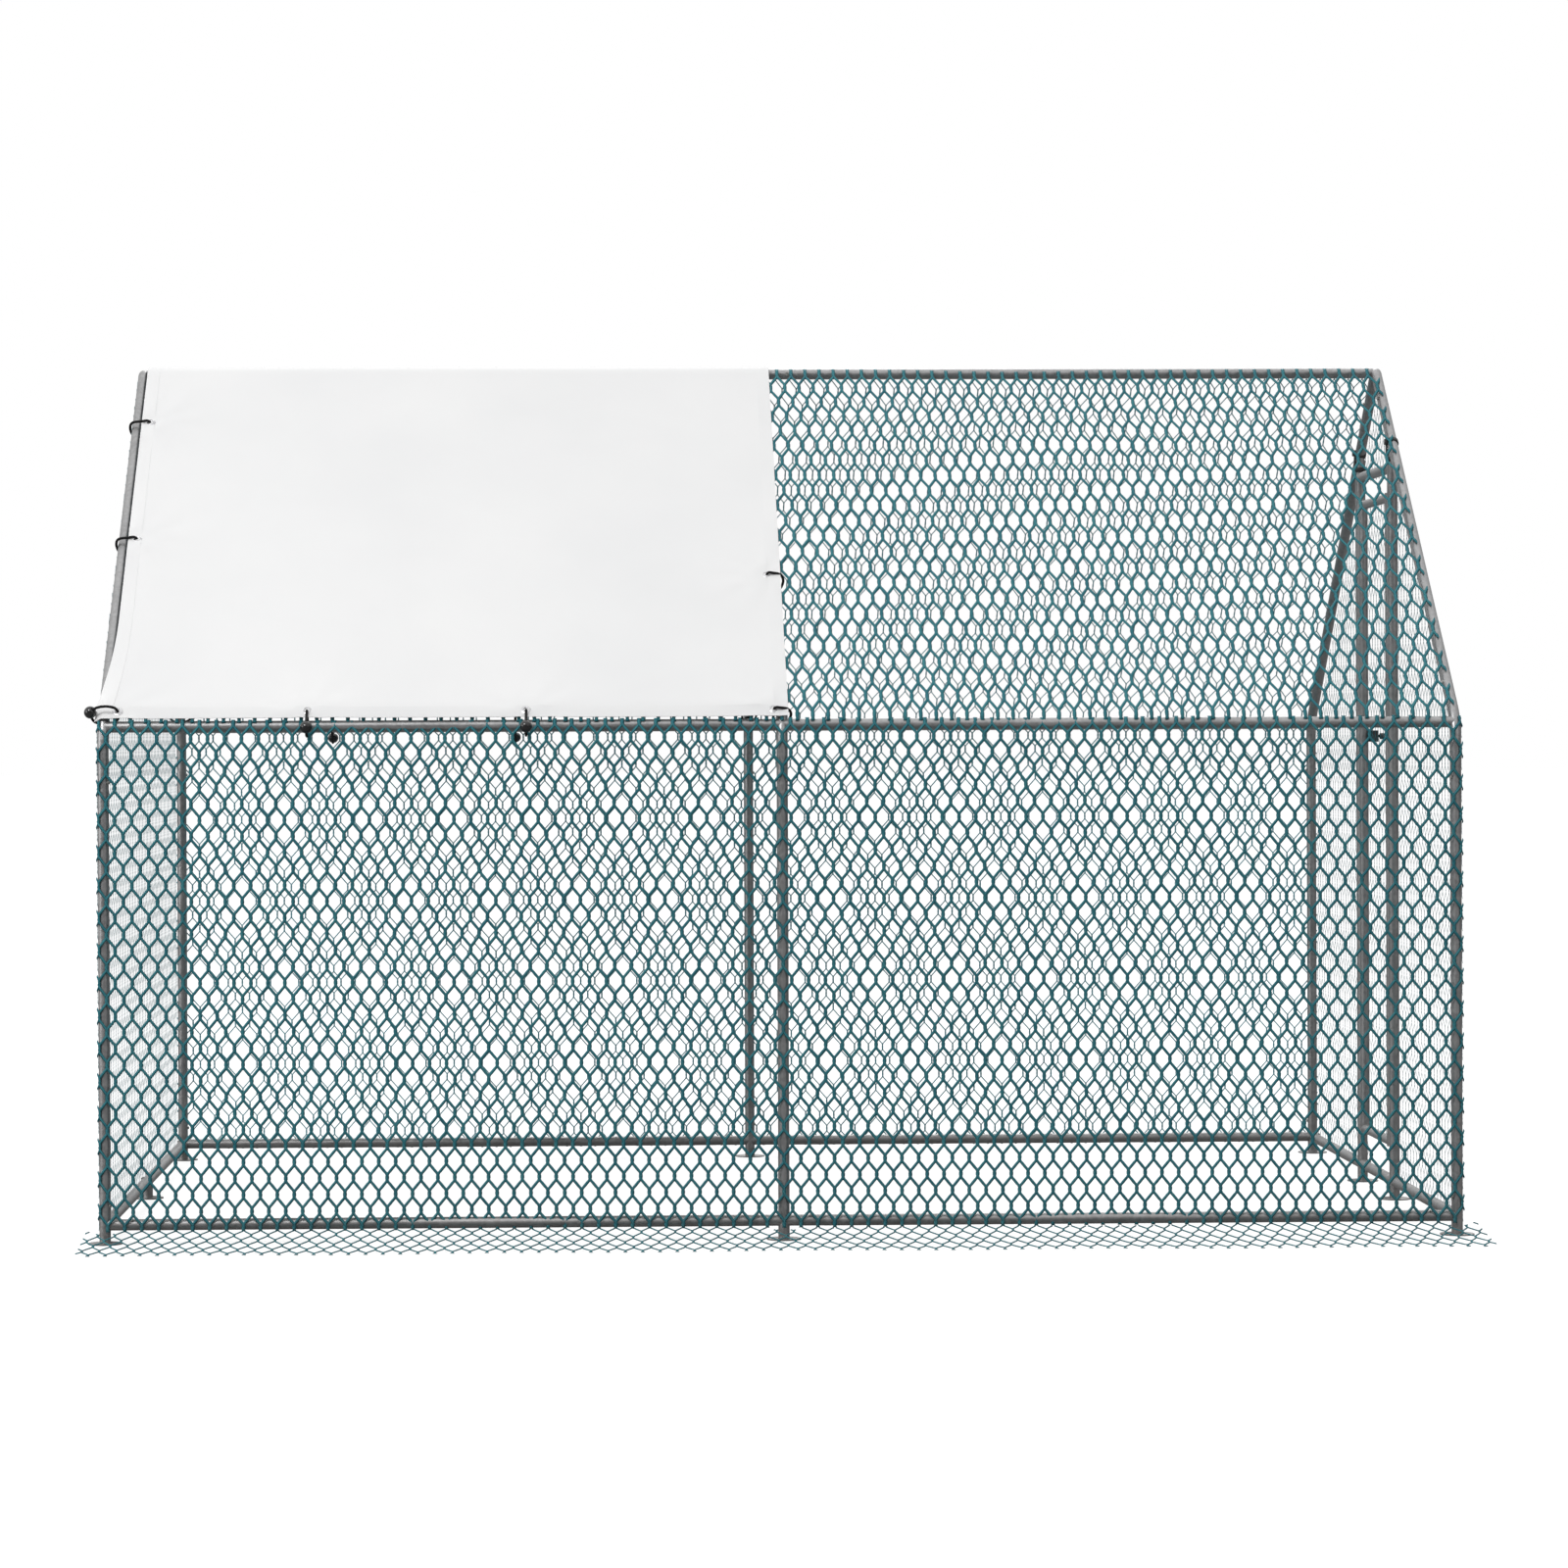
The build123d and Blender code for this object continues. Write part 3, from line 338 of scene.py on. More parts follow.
class Graph:
    """Node tree under construction."""

    def __init__(self, tree: bpy.types.NodeTree) -> None:
        """Keeps the tree."""
        self.tree = tree

    def add(self, kind: str, settings: Optional[dict] = None, **inputs: object) -> bpy.types.Node:
        """Adds a node.

        Args:
            kind: The node's type.
            settings: Properties of the node.
            **inputs: Values or sockets for its inputs, with spaces written as underscores.

        Returns:
            The node.
        """
        node = self.tree.nodes.new(kind)
        for key, value in (settings or {}).items():
            setattr(node, key, value)
        for key, value in inputs.items():
            self.feed(node.inputs[key.replace("_", " ")], value)
        return node

    def feed(self, socket: Socket, value: object) -> None:
        """Fills an input.

        Args:
            socket: The input.
            value: A socket to link it to, or its value.
        """
        if isinstance(value, Socket):
            self.tree.links.new(value, socket)
        else:
            socket.default_value = value

    def math(self, operation: str, first: object, second: object = 0.0) -> Socket:
        """Adds a maths node.

        Args:
            operation: What it does.
            first: Its first value or socket.
            second: Its second value or socket.

        Returns:
            Its result.
        """
        node = self.add("ShaderNodeMath", {"operation": operation})
        self.feed(node.inputs[0], first)
        self.feed(node.inputs[1], second)
        return node.outputs[0]

    def blend(self, factor: object, first: object, second: object) -> Socket:
        """Adds a colour mix.

        Args:
            factor: Share of the second colour.
            first: The first colour.
            second: The second colour.

        Returns:
            The mixed colour.
        """
        node = self.add("ShaderNodeMix", {"data_type": "RGBA"}, Factor=factor)
        self.feed(node.inputs[6], first)
        self.feed(node.inputs[7], second)
        return node.outputs[2]

    def remap(self, value: object, **ends: object) -> Socket:
        """Adds a map from one range to another, 0 to 1 where an end isn't given, and returns its result."""
        return self.add("ShaderNodeMapRange", Value=value, **ends).outputs["Result"]

    def spot(self) -> Socket:
        """Adds the place of a point on the piece."""
        return self.add("ShaderNodeTexCoord").outputs["Object"]

    def noise(self, spot: Socket, scale: object, detail: object) -> Socket:
        """Adds noise of a scale and a detail at a place, and returns its value."""
        return self.add("ShaderNodeTexNoise", Vector=spot, Scale=scale, Detail=detail).outputs[0]

    def effect(self, group: bpy.types.NodeTree, **inputs: object) -> Socket:
        """Adds a shared effect and returns its result."""
        return self.add("ShaderNodeGroup", {"node_tree": group}, **inputs).outputs[0]


def new_group(name: str, inputs: dict[str, float], outputs: Sequence[str]) -> tuple[Graph, dict, bpy.types.Node]:
    """Starts a shader node group.

    Args:
        name: Name of the group.
        inputs: Names and starting values of its inputs.
        outputs: Names of its outputs.

    Returns:
        The group's graph, its input sockets by name and its output node.
    """
    tree = bpy.data.node_groups.new(name, "ShaderNodeTree")
    for key, value in inputs.items():
        socket = tree.interface.new_socket(key, in_out="INPUT", socket_type="NodeSocketFloat")
        socket.default_value = value
    for key in outputs:
        tree.interface.new_socket(key, in_out="OUTPUT", socket_type="NodeSocketFloat")
    graph = Graph(tree)
    entry = graph.add("NodeGroupInput")
    leave = graph.add("NodeGroupOutput")
    return graph, {key: entry.outputs[key] for key in inputs}, leave


class Effects:
    """Shared surface effects, each a node group that is built once."""

    CLOUD_RANGE = {"From_Min": 0.3, "From_Max": 0.7}
    PATCH_RANGE = {"From_Min": 0.35, "From_Max": 0.65}
    PATCH_SCALE = 25.0
    WARP_SCALE = 60.0
    WARP_REACH = 0.006
    FLECK_SCALE = 900.0

    def __init__(self) -> None:
        """Builds the groups."""
        self.mottle = self._mottle()
        self.spangle = self._spangle()
        self.grain = self._grain()
        self.splash = self._splash()

    def _mottle(self) -> bpy.types.NodeTree:
        """Soft cloudy variation, from 0 to 1.

        Returns:
            The group.
        """
        graph, given, leave = new_group("mottle", {"Scale": 6.0, "Detail": 4.0}, ["Value"])
        cloud = graph.noise(graph.spot(), given["Scale"], given["Detail"])
        graph.feed(leave.inputs["Value"], graph.remap(cloud, **self.CLOUD_RANGE))
        return graph.tree

    def _spangle(self) -> bpy.types.NodeTree:
        """Crystal facets of hot-dip zinc, with a frosty fleck inside them.

        Returns:
            The group.
        """
        graph, given, leave = new_group("zinc_spangle", {"Scale": 120.0, "Fleck": 0.35}, ["Value"])
        spot = graph.spot()
        warp = graph.add("ShaderNodeTexNoise", Vector=spot, Scale=self.WARP_SCALE, Detail=2.0)
        bent = graph.add("ShaderNodeVectorMath", {"operation": "MULTIPLY_ADD"})
        for socket, value in zip(bent.inputs, (warp.outputs["Color"], (self.WARP_REACH,) * 3, spot)):
            graph.feed(socket, value)
        cells = graph.add("ShaderNodeTexVoronoi", Vector=bent.outputs[0], Scale=given["Scale"])
        node = graph.add("ShaderNodeMix", Factor=given["Fleck"])
        graph.feed(node.inputs[2], graph.add("ShaderNodeSeparateColor", Color=cells.outputs["Color"]).outputs[0])
        graph.feed(node.inputs[3], graph.noise(spot, self.FLECK_SCALE, 1.0))
        graph.feed(leave.inputs["Value"], node.outputs[0])
        return graph.tree

    def _grain(self) -> bpy.types.NodeTree:
        """Fine grain for a moulded or coated surface.

        Returns:
            The group.
        """
        graph, given, leave = new_group("fine_grain", {"Scale": 400.0}, ["Height"])
        graph.feed(leave.inputs["Height"], graph.noise(graph.spot(), given["Scale"], 3.0))
        return graph.tree

    def _splash(self) -> bpy.types.NodeTree:
        """Soil splashed up from the ground, patchy and fading with height.

        Returns:
            The group.
        """
        graph, given, leave = new_group("soil_splash", {"Reach": 0.25, "Amount": 0.5}, ["Mask"])
        spot = graph.spot()
        height = graph.add("ShaderNodeSeparateXYZ", Vector=spot).outputs["Z"]
        share = graph.math("DIVIDE", height, given["Reach"])
        fade = graph.math("POWER", graph.math("MAXIMUM", graph.math("SUBTRACT", 1.0, share), 0.0), 2.0)
        patch = graph.remap(graph.noise(spot, self.PATCH_SCALE, 5.0), **self.PATCH_RANGE)
        graph.feed(leave.inputs["Mask"], graph.math("MULTIPLY", graph.math("MULTIPLY", fade, patch), given["Amount"]))
        return graph.tree


SOIL = (0.16, 0.12, 0.085, 1.0)
SOIL_ROUGHNESS = 0.35
FACET_SHARE = 0.65
CLOUD_SHARE = 0.35


@dataclass(frozen=True)
class Finish:
    """Surface of one material: two tones, a roughness range and a bump."""

    name: str
    slot: str
    dark: Colour
    light: Colour
    rough: Pair
    metallic: float = 0.0
    spangle: float = 0.0
    mottle: float = 6.0
    grain: float = 400.0
    bump: float = 0.1
    relief: float = 0.0005
    soil: float = 0.0
    coat: float = 0.0
    specular: float = 0.5

    def make(self, effects: Effects) -> bpy.types.Material:
        """Builds the material.

        Args:
            effects: The shared node groups.

        Returns:
            The material.
        """
        material = bpy.data.materials.new(self.name)
        material.use_nodes = True
        graph = Graph(material.node_tree)
        shader = material.node_tree.nodes["Principled BSDF"]
        tone = graph.effect(effects.mottle, Scale=self.mottle)
        if self.spangle:
            facet = graph.effect(effects.spangle, Scale=self.spangle)
            tone = graph.math("ADD", graph.math("MULTIPLY", facet, FACET_SHARE),
                              graph.math("MULTIPLY", tone, CLOUD_SHARE))
        colour = graph.blend(tone, (*self.dark, 1.0), (*self.light, 1.0))
        rough = graph.remap(tone, To_Min=self.rough[0], To_Max=self.rough[1])
        if self.soil:
            soil = graph.effect(effects.splash, Amount=self.soil)
            colour = graph.blend(soil, colour, SOIL)
            rough = graph.math("ADD", rough, graph.math("MULTIPLY", soil, SOIL_ROUGHNESS))
        graph.feed(shader.inputs["Base Color"], colour)
        graph.feed(shader.inputs["Roughness"], rough)
        height = self.height(graph, effects)
        bump = graph.add("ShaderNodeBump", Strength=self.bump, Distance=self.relief, Height=height)
        graph.feed(shader.inputs["Normal"], bump.outputs["Normal"])
        shader.inputs["Metallic"].default_value = self.metallic
        shader.inputs["Coat Weight"].default_value = self.coat
        shader.inputs["Specular IOR Level"].default_value = self.specular
        return material

    def height(self, graph: Graph, effects: Effects) -> Socket:
        """Height of the surface's fine relief."""
        return graph.effect(effects.grain, Scale=self.grain)


@dataclass(frozen=True)
class WovenFinish(Finish):
    """Coated woven sheet, whose tapes follow the sheet's own map."""

    tape: float = 0.003
    tape_height: float = 0.5

    def height(self, graph: Graph, effects: Effects) -> Socket:
        """Relief of tapes that cross over and under, with the coat's grain over them.

        Args:
            graph: The material's node tree.
            effects: The shared node groups.

        Returns:
            The height.
        """
        axes = graph.add("ShaderNodeSeparateXYZ", Vector=graph.add("ShaderNodeUVMap").outputs["UV"])
        warp, weft = (graph.math("SINE", graph.math("MULTIPLY", axes.outputs[axis], math.pi / self.tape))
                      for axis in "XY")
        weave = graph.math("MULTIPLY", graph.math("MULTIPLY", warp, weft), self.tape_height)
        return graph.math("ADD", weave, graph.effect(effects.grain, Scale=self.grain))


class Palette:
    """Every finish of the coop, made into materials."""

    GALVANISED = Finish("galvanised_tube", "galvanised_tube", (0.245, 0.245, 0.247), (0.41, 0.409, 0.411), (0.30, 0.48),
                        metallic=0.85, spangle=140.0, grain=700.0, bump=0.08, soil=0.25)
    ZINC = Finish("zinc_plate", "zinc_hardware", (0.42, 0.42, 0.40), (0.62, 0.62, 0.60), (0.22, 0.36),
                  metallic=1.0, spangle=300.0, grain=900.0, bump=0.05)
    WIRE = Finish("coated_wire", "coated_wire", (0.026, 0.130, 0.162), (0.044, 0.186, 0.212), (0.45, 0.60),
                  mottle=18.0, grain=1500.0, bump=0.1, soil=0.15, specular=0.06)
    # Paler copy of the coated wire for the back nets: painted light that makes the far netting look lighter than the
    # near one, though the wire is the same.
    PAINTED_LIGHT_WIRE = replace(WIRE, name="coated_wire_pale", dark=(0.16, 0.37, 0.43), light=(0.24, 0.46, 0.52), soil=0.1)
    COVER = WovenFinish("cover_sheet", "cover_fabric", (0.669, 0.671, 0.674), (0.705, 0.705, 0.705), (0.5, 0.62),
                        mottle=2.5, grain=250.0, bump=0.12, specular=0.2)
    HEM = replace(COVER, name="cover_hem", mottle=4.0, bump=0.15)
    EYELET = Finish("eyelet_metal", "eyelet_metal", (0.38, 0.38, 0.39), (0.58, 0.58, 0.59), (0.2, 0.34),
                    metallic=1.0, grain=1200.0, bump=0.04)
    CORD = Finish("bungee_braid", "bungee_cord", (0.003, 0.003, 0.0035), (0.012, 0.012, 0.013), (0.6, 0.8),
                  mottle=300.0, grain=2200.0, bump=0.5, specular=0.2)
    BALL = Finish("bungee_ball", "bungee_ball", (0.003, 0.003, 0.0035), (0.006, 0.006, 0.0065), (0.10, 0.18),
                  grain=300.0, bump=0.03, coat=0.3, specular=0.5)
    PLASTIC = Finish("black_plastic", "black_plastic", (0.014, 0.014, 0.015), (0.03, 0.03, 0.031), (0.42, 0.58),
                     mottle=40.0, grain=1400.0, bump=0.2)

    def __init__(self) -> None:
        """Builds the groups and the materials."""
        effects = Effects()
        finishes = [value for value in vars(Palette).values() if isinstance(value, Finish)]
        self.materials = {finish.name: finish.make(effects) for finish in finishes}
        self.by_slot = {finish.slot: finish for finish in reversed(finishes)}

    def __getitem__(self, finish: Finish) -> bpy.types.Material:
        """Material of a finish."""
        return self.materials[finish.name]

    def dress_nodes(self) -> None:
        """Puts the finishes on the frame's own solids, by the slot that the record gives each."""
        for part in frame["record"]["subparts"]:
            node = frame["nodes"][part["node"]]
            node.data.materials.clear()
            node.data.materials.append(self[self.by_slot[part["material_slot"]]])
            LOG.info("%s: %s", part["node"], part["material_slot"])


# Netting


@dataclass(frozen=True)
class Ripple:
    """Gentle wave over a sheet: its radians for each metre along two directions, and its start."""

    first: float
    second: float
    start: float = 0.0

    def at(self, first: Array, second: Array) -> Array:
        """Height of the wave at places along the two directions."""
        return np.sin(self.first * first + self.second * second + self.start)


@dataclass(frozen=True)
class HexWeave:
    """Hexagonal netting of wires twisted in pairs. X runs along the net, Y out of it and Z up it."""

    pitch: float
    twist: float
    slant: float
    wire: float = 0.0035
    lay: float = 0.0018
    flatness: float = 1.0
    splay: float = 1.2
    bend: float = 0.16
    sides: int = 3
    steps: int = 3

    @property
    def row(self) -> float:
        """Height of one row of twists with its slanting wires."""
        return self.twist + self.slant

    @property
    def stand_off(self) -> float:
        """From the face that the net lies on to its middle."""
        return (self.wire + self.lay) * self.flatness

    def fitted(self, length: float) -> "HexWeave":
        """The same netting with its slant adjusted, so that a length begins and ends with a twist."""
        rows = max(1, round((length - self.twist) / self.row))
        return replace(self, slant=(length - self.twist) / rows - self.twist)

    def path(self) -> list[tuple[Vector, float]]:
        """Axis of one wire over two rows: round its left neighbour, across, round its right one and back.

        Returns:
            Points of the axis, each with the wire's level width there as a share of its own.
        """
        points = []
        for column in (0, 1):
            for step in range(self.steps + 1):
                turn = math.tau * step / self.steps + math.pi * column
                points.append((Vector((column * self.pitch / 2 + self.lay * math.cos(turn), self.lay * math.sin(turn),
                                       column * self.row + self.twist * step / self.steps)), 1.0))
        points.append((points[0][0] + Vector((0, 0, 2 * self.row)), 1.0))
        path = []
        for (start, width), (end, _) in zip(points, points[1:]):
            path.append((start, width))
            if end.z - start.z > self.twist / self.steps + SAME_POINT or abs(end.x - start.x) > self.pitch / 4:
                path += [(start.lerp(end, share), self.splay) for share in (self.bend, 1.0 - self.bend)]
        return [*path, points[-1]]

    def strand(self, repeats: int) -> Shape:
        """One wire.

        Args:
            repeats: Number of pairs of rows that it runs through.

        Returns:
            The wire as an open tube.
        """
        bm = bmesh.new()
        path = self.path()
        bmesh.ops.create_circle(bm, cap_ends=False, segments=self.sides, radius=self.wire,
                                matrix=Matrix.Translation(path[0][0]))
        ring = bm.edges[:]
        for (start, width), (end, next_width) in zip(path, path[1:]):
            made = bmesh.ops.extrude_edge_only(bm, edges=ring)["geom"]
            verts = of_kind(made, bmesh.types.BMVert)
            bmesh.ops.translate(bm, vec=end - start, verts=verts)
            bmesh.ops.scale(bm, vec=(next_width / width, 1, 1), space=Matrix.Translation(-end), verts=verts)
            ring = [edge for edge in of_kind(made, bmesh.types.BMEdge)
                    if all(abs(vert.co.z - end.z) < LEVEL for vert in edge.verts)]
        bmesh.ops.scale(bm, vec=(1, self.flatness, 1), verts=bm.verts[:])
        unit = everything(bm)
        for repeat in range(1, repeats):
            add_shifted(bm, unit, UP * (2 * self.row * repeat))
        bmesh.ops.remove_doubles(bm, verts=bm.verts[:], dist=WELD)
        bmesh.ops.recalc_face_normals(bm, faces=bm.faces[:])
        return bm

    def fill(self, low: Pair, high: Pair) -> Shape:
        """Netting that covers a rectangle with a margin, on a grid that starts at zero.

        Args:
            low: Least X and Z of the rectangle.
            high: Greatest X and Z of the rectangle.

        Returns:
            The wires, untrimmed.
        """
        first = math.floor(low[0] / self.pitch) - 1
        last = math.ceil(high[0] / self.pitch) + 1
        under = math.floor(low[1] / (2 * self.row)) - 1
        over = math.ceil(high[1] / (2 * self.row)) + 1
        bm = self.strand(over - under)
        bmesh.ops.translate(bm, vec=(first * self.pitch, 0, under * 2 * self.row), verts=bm.verts[:])
        add_shifted(bm, everything(bm), (self.pitch / 2, 0, self.row))
        pair = everything(bm)
        for count in range(1, last - first):
            add_shifted(bm, pair, (count * self.pitch, 0, 0))
        return bm


def trim(bm: Shape, outline: Outline) -> None:
    """Cuts netting to an outline and closes the cut wires.

    Args:
        bm: The netting.
        outline: Corners in X and Z, anticlockwise and convex.
    """
    corners = [Vector((x, 0.0, z)) for x, z in outline]
    for start, end in zip(corners, corners[1:] + corners[:1]):
        run = end - start
        outward = Vector((run.z, 0.0, -run.x))
        cut = bmesh.ops.bisect_plane(bm, geom=everything(bm), dist=LEVEL, plane_co=start, plane_no=outward,
                                     clear_outer=True)
        bmesh.ops.holes_fill(bm, edges=of_kind(cut["geom_cut"], bmesh.types.BMEdge), sides=0)


def box_outline(left: float, low: float, right: float, high: float) -> Outline:
    """Rectangle as an outline."""
    return [(left, low), (right, low), (right, high), (left, high)]


@dataclass
class Netting:
    """All the netting of the coop."""

    palette: Palette
    wall: HexWeave = HexWeave(0.037, 0.0172, 0.0184, sides=4, flatness=0.55)
    roof: HexWeave = HexWeave(0.034, 0.0310, 0.0260, sides=4, flatness=0.55)
    far_wall: HexWeave = HexWeave(0.037, 0.0172, 0.0184, wire=0.0020, lay=0.0011)
    far_roof: HexWeave = HexWeave(0.034, 0.0310, 0.0260, wire=0.0015, lay=0.0009)
    gable: HexWeave = HexWeave(0.037, 0.0172, 0.0184, wire=0.0013, lay=0.0009, flatness=0.35)
    ground: HexWeave = HexWeave(0.037, 0.0220, 0.0280, wire=0.0025, lay=0.0018, flatness=0.6)
    edge: float = 0.0004
    wrap: float = 0.018
    roof_wrap: float = 0.001
    roof_top: float = 0.021
    bare_rafter: float = 1.474
    wall_top: float = 0.010
    roof_foot: float = 0.003
    sway: float = 0.0022
    sway_waves: tuple[Ripple, Ripple] = (Ripple(9.1, 4.3), Ripple(5.3, -7.7, 1.1))
    drift: float = 0.0008
    drift_wave: Ripple = Ripple(3.0, 11.0)
    gable_gap: float = 0.0004
    gable_sway: float = 0.0004
    gable_wave: Ripple = Ripple(8.3, 5.1)
    gable_drop: float = 0.008
    foot: float = 0.027
    skirt_out: float = 1.252
    skirt_side: float = 1.528
    skirt_gap: float = 0.0005
    skirt_rise: float = 0.023
    skirt_curve: float = 1.4
    skirt_sway: float = 0.0016
    skirt_waves: tuple[Ripple, Ripple] = (Ripple(6.1, 9.0), Ripple(3.7, 0.0, math.pi / 2))
    disc: float = 0.041
    door_post: float = 0.22
    lintel: float = 1.738
    door_edge: float = 0.182
    door_low: float = 0.125
    door_high: float = 1.676
    door_tube: float = 0.011

    def build(self) -> None:
        """Makes every net."""
        for side in Side:
            for bay in Bay:
                self.bay_nets(side, bay)
        self.gable_nets()
        self.door_net()
        self.skirt()

    def finish(self, bm: Shape, node: str, body: str, finish: Finish = Palette.WIRE) -> None:
        """Turns a placed net into a piece that stands for its solid.

        Args:
            bm: The net in the coop's frame.
            node: The solid that it replaces.
            body: The body that it moves with.
            finish: The wires' finish.
        """
        bmesh.ops.recalc_face_normals(bm, faces=bm.faces[:])
        piece = new_piece(bm, node + "_wires", self.palette[finish])
        settle(piece, body, node)

    def along_roof_line(self, weave: HexWeave, side: Side, ends: Pair, top: float,
                        bottom: float) -> Shape:
        """Net laid along the line of the roof and wall.

        Args:
            weave: The netting's pattern.
            side: The long side.
            ends: Least and greatest X of the net before it goes round an end frame.
            top: Distance from the ridge to the net's upper edge.
            bottom: Distance from the ridge to its lower edge.

        Returns:
            The net in place.
        """
        left, right = ends
        length = bottom - top
        bm = weave.fitted(length).fill((left, 0.0), (right, length))
        trim(bm, box_outline(left, self.edge, right, length - self.edge))
        lift = TUBES.tube + weave.stand_off
        line = RoofLine(lift)

        def place(spots: Array) -> Array:
            """Bends the flat net over the frame, slightly uneven between the tubes and slack inwards.

            Args:
                spots: Places on the flat net.

            Returns:
                Places in the coop's frame.
            """
            x, out, along = spots[:, 0], spots[:, 1], bottom - spots[:, 2]
            slack = np.sin(np.clip(np.abs(x) / TUBES.post_x, 0, 1) * math.pi) ** 2
            wave = sum(ripple.at(x, along) - 1.0 for ripple in self.sway_waves)
            out = out + self.sway * slack * wave
            x, out = round_posts(x + self.drift * self.drift_wave.at(x, along) * slack, out, lift)
            h, z = line.place(along, out)
            return np.stack([x, side.value * h, z], axis=1)

        move_points(bm, place)
        return bm

    def bay_nets(self, side: Side, bay: Bay) -> None:
        """Nets of one bay: the wall's from the foot to the eave, the roof's on to the ridge. Left rafters stay bare.

        Args:
            side: The long side.
            bay: Its half.
        """
        near = side is Side.FRONT
        # The back nets get the paler copy of the wire: painted light that makes them look lighter than the front ones.
        finish = Palette.WIRE if near else Palette.PAINTED_LIGHT_WIRE
        wall, roof = (self.wall, self.roof) if near else (self.far_wall, self.far_roof)
        wall_line, roof_line = (RoofLine(TUBES.tube + weave.stand_off) for weave in (wall, roof))
        roof_end = self.bare_rafter if bay is Bay.LEFT else TUBES.post_x + self.roof_wrap
        for name, weave, end, top, bottom in (
                ("wall", wall, TUBES.post_x + self.wrap, wall_line.eave_middle - self.wall_top,
                 wall_line.down_to(self.foot)),
                ("roof", roof, roof_end, self.roof_top, roof_line.eave_middle - self.roof_foot)):
            ends = (-end, 0.0) if bay is Bay.LEFT else (0.0, end)
            bm = self.along_roof_line(weave, side, ends, top, bottom)
            self.finish(bm, f"{name}_net_{side.name}_{bay.name}".lower(), "frame", finish)

    def gable_outline(self, left: float, right: float, foot: float) -> Outline:
        """Part of a gable between two places, up to the rafters' axes.

        Args:
            left: Least Y.
            right: Greatest Y.
            foot: Height of the lower edge.

        Returns:
            The corners in Y and Z.
        """
        def top(y: float) -> float:
            """Height of the upper edge."""
            return TUBES.eave + (TUBES.post_y - abs(y)) * math.tan(TUBES.slope) - self.gable_drop

        corners = [(left, foot), (right, foot), (right, top(right))]
        if left < 0.0 < right:
            corners.append((0.0, top(0.0)))
        return [*corners, (left, top(left))]

    def gable_net(self, outline: Outline, face: float) -> Shape:
        """Flat net on a gable.

        Args:
            outline: Its corners in Y and Z.
            face: X of the tubes' outer face, with the gable's sign.

        Returns:
            The net in place.
        """
        ys, zs = zip(*outline)
        bm = self.gable.fill((min(ys), min(zs)), (max(ys), max(zs)))
        trim(bm, outline)
        sign = math.copysign(1.0, face)
        middle = face + sign * (self.gable.stand_off + self.gable_gap)

        def place(spots: Array) -> Array:
            """Stands the net on the gable."""
            ripple = self.gable_sway * (self.gable_wave.at(spots[:, 0], spots[:, 2]) + 1.0)
            return np.stack([middle + sign * (spots[:, 1] + ripple), spots[:, 0], spots[:, 2]], axis=1)

        move_points(bm, place)
        return bm

    def gable_nets(self) -> None:
        """Net of the left gable, and the three of the right one round the door."""
        face = TUBES.post_x + TUBES.tube
        end = TUBES.post_y
        self.finish(self.gable_net(self.gable_outline(-end, end, self.foot), -face), "left_gable_net", "frame")
        joined = bmesh.new()
        for left, right, foot in ((-end, -self.door_post, self.foot), (self.door_post, end, self.foot),
                                  (-self.door_post, self.door_post, self.lintel - TUBES.tube)):
            part = self.gable_net(self.gable_outline(left, right, foot), face)
            add_copy(joined, part, Matrix())
            part.free()
        self.finish(joined, "right_gable_nets", "frame")

    def door_net(self) -> None:
        """Net of the door leaf."""
        outline = box_outline(-self.door_edge, self.door_low, self.door_edge, self.door_high)
        self.finish(self.gable_net(outline, TUBES.post_x + self.door_tube), "door_net", "door")

    def skirt(self) -> None:
        """Net that runs out over the ground in front, parted round the feet."""
        inner = TUBES.post_y + TUBES.tube + self.wall.stand_off
        outline = box_outline(-self.skirt_side, -self.skirt_out, self.skirt_side, -inner)
        bm = self.ground.fill(outline[0], outline[2])
        trim(bm, outline)
        feet = [Vector((x, 0.0, -TUBES.post_y)) for x in (-TUBES.post_x, 0.0, TUBES.post_x)]
        near = [face for face in bm.faces
                if any((face.calc_center_median() - foot).length < self.disc for foot in feet)]
        bmesh.ops.delete(bm, geom=near, context="FACES")
        bmesh.ops.holes_fill(bm, edges=[edge for edge in bm.edges if edge.is_boundary], sides=0)

        def place(spots: Array) -> Array:
            """Lays the net from the foot of the wall down to the ground, slightly uneven.

            Args:
                spots: Places on the flat net.

            Returns:
                Places in the coop's frame.
            """
            x, out, y = spots[:, 0], spots[:, 1], spots[:, 2]
            share = np.clip((y + self.skirt_out) / (self.skirt_out - inner), 0, 1) ** self.skirt_curve
            long, cross = (ripple.at(x, y) for ripple in self.skirt_waves)
            wave = self.skirt_sway * (1.0 + long * cross)
            z = self.ground.stand_off + self.skirt_gap + self.skirt_rise * share + out + wave
            return np.stack([x, y, z], axis=1)

        move_points(bm, place)
        self.finish(bm, "skirt_net", "frame")


# Cover and ties


@dataclass(frozen=True)
class Route:
    """Loop of cord as points outwards and upwards from the axis of the tube that it goes round, and its ball."""

    points: tuple[Pair, ...]
    ball: Pair


@dataclass(frozen=True)
class Tie:
    """Ball bungee: where its eyelet is, the points that draw its cord's loop and its ball's centre."""

    eyelet: Vector
    normal: Vector
    loop: tuple[Vector, ...]
    ball: Vector
    x: float
    up: float
    side: int

    @property
    def through(self) -> Vector:
        """Direction of the cord where it goes through the ball."""
        near = min(range(len(self.loop)), key=lambda index: (self.loop[index] - self.ball).length)
        return (self.loop[(near + 1) % len(self.loop)] - self.loop[near - 1]).normalized()


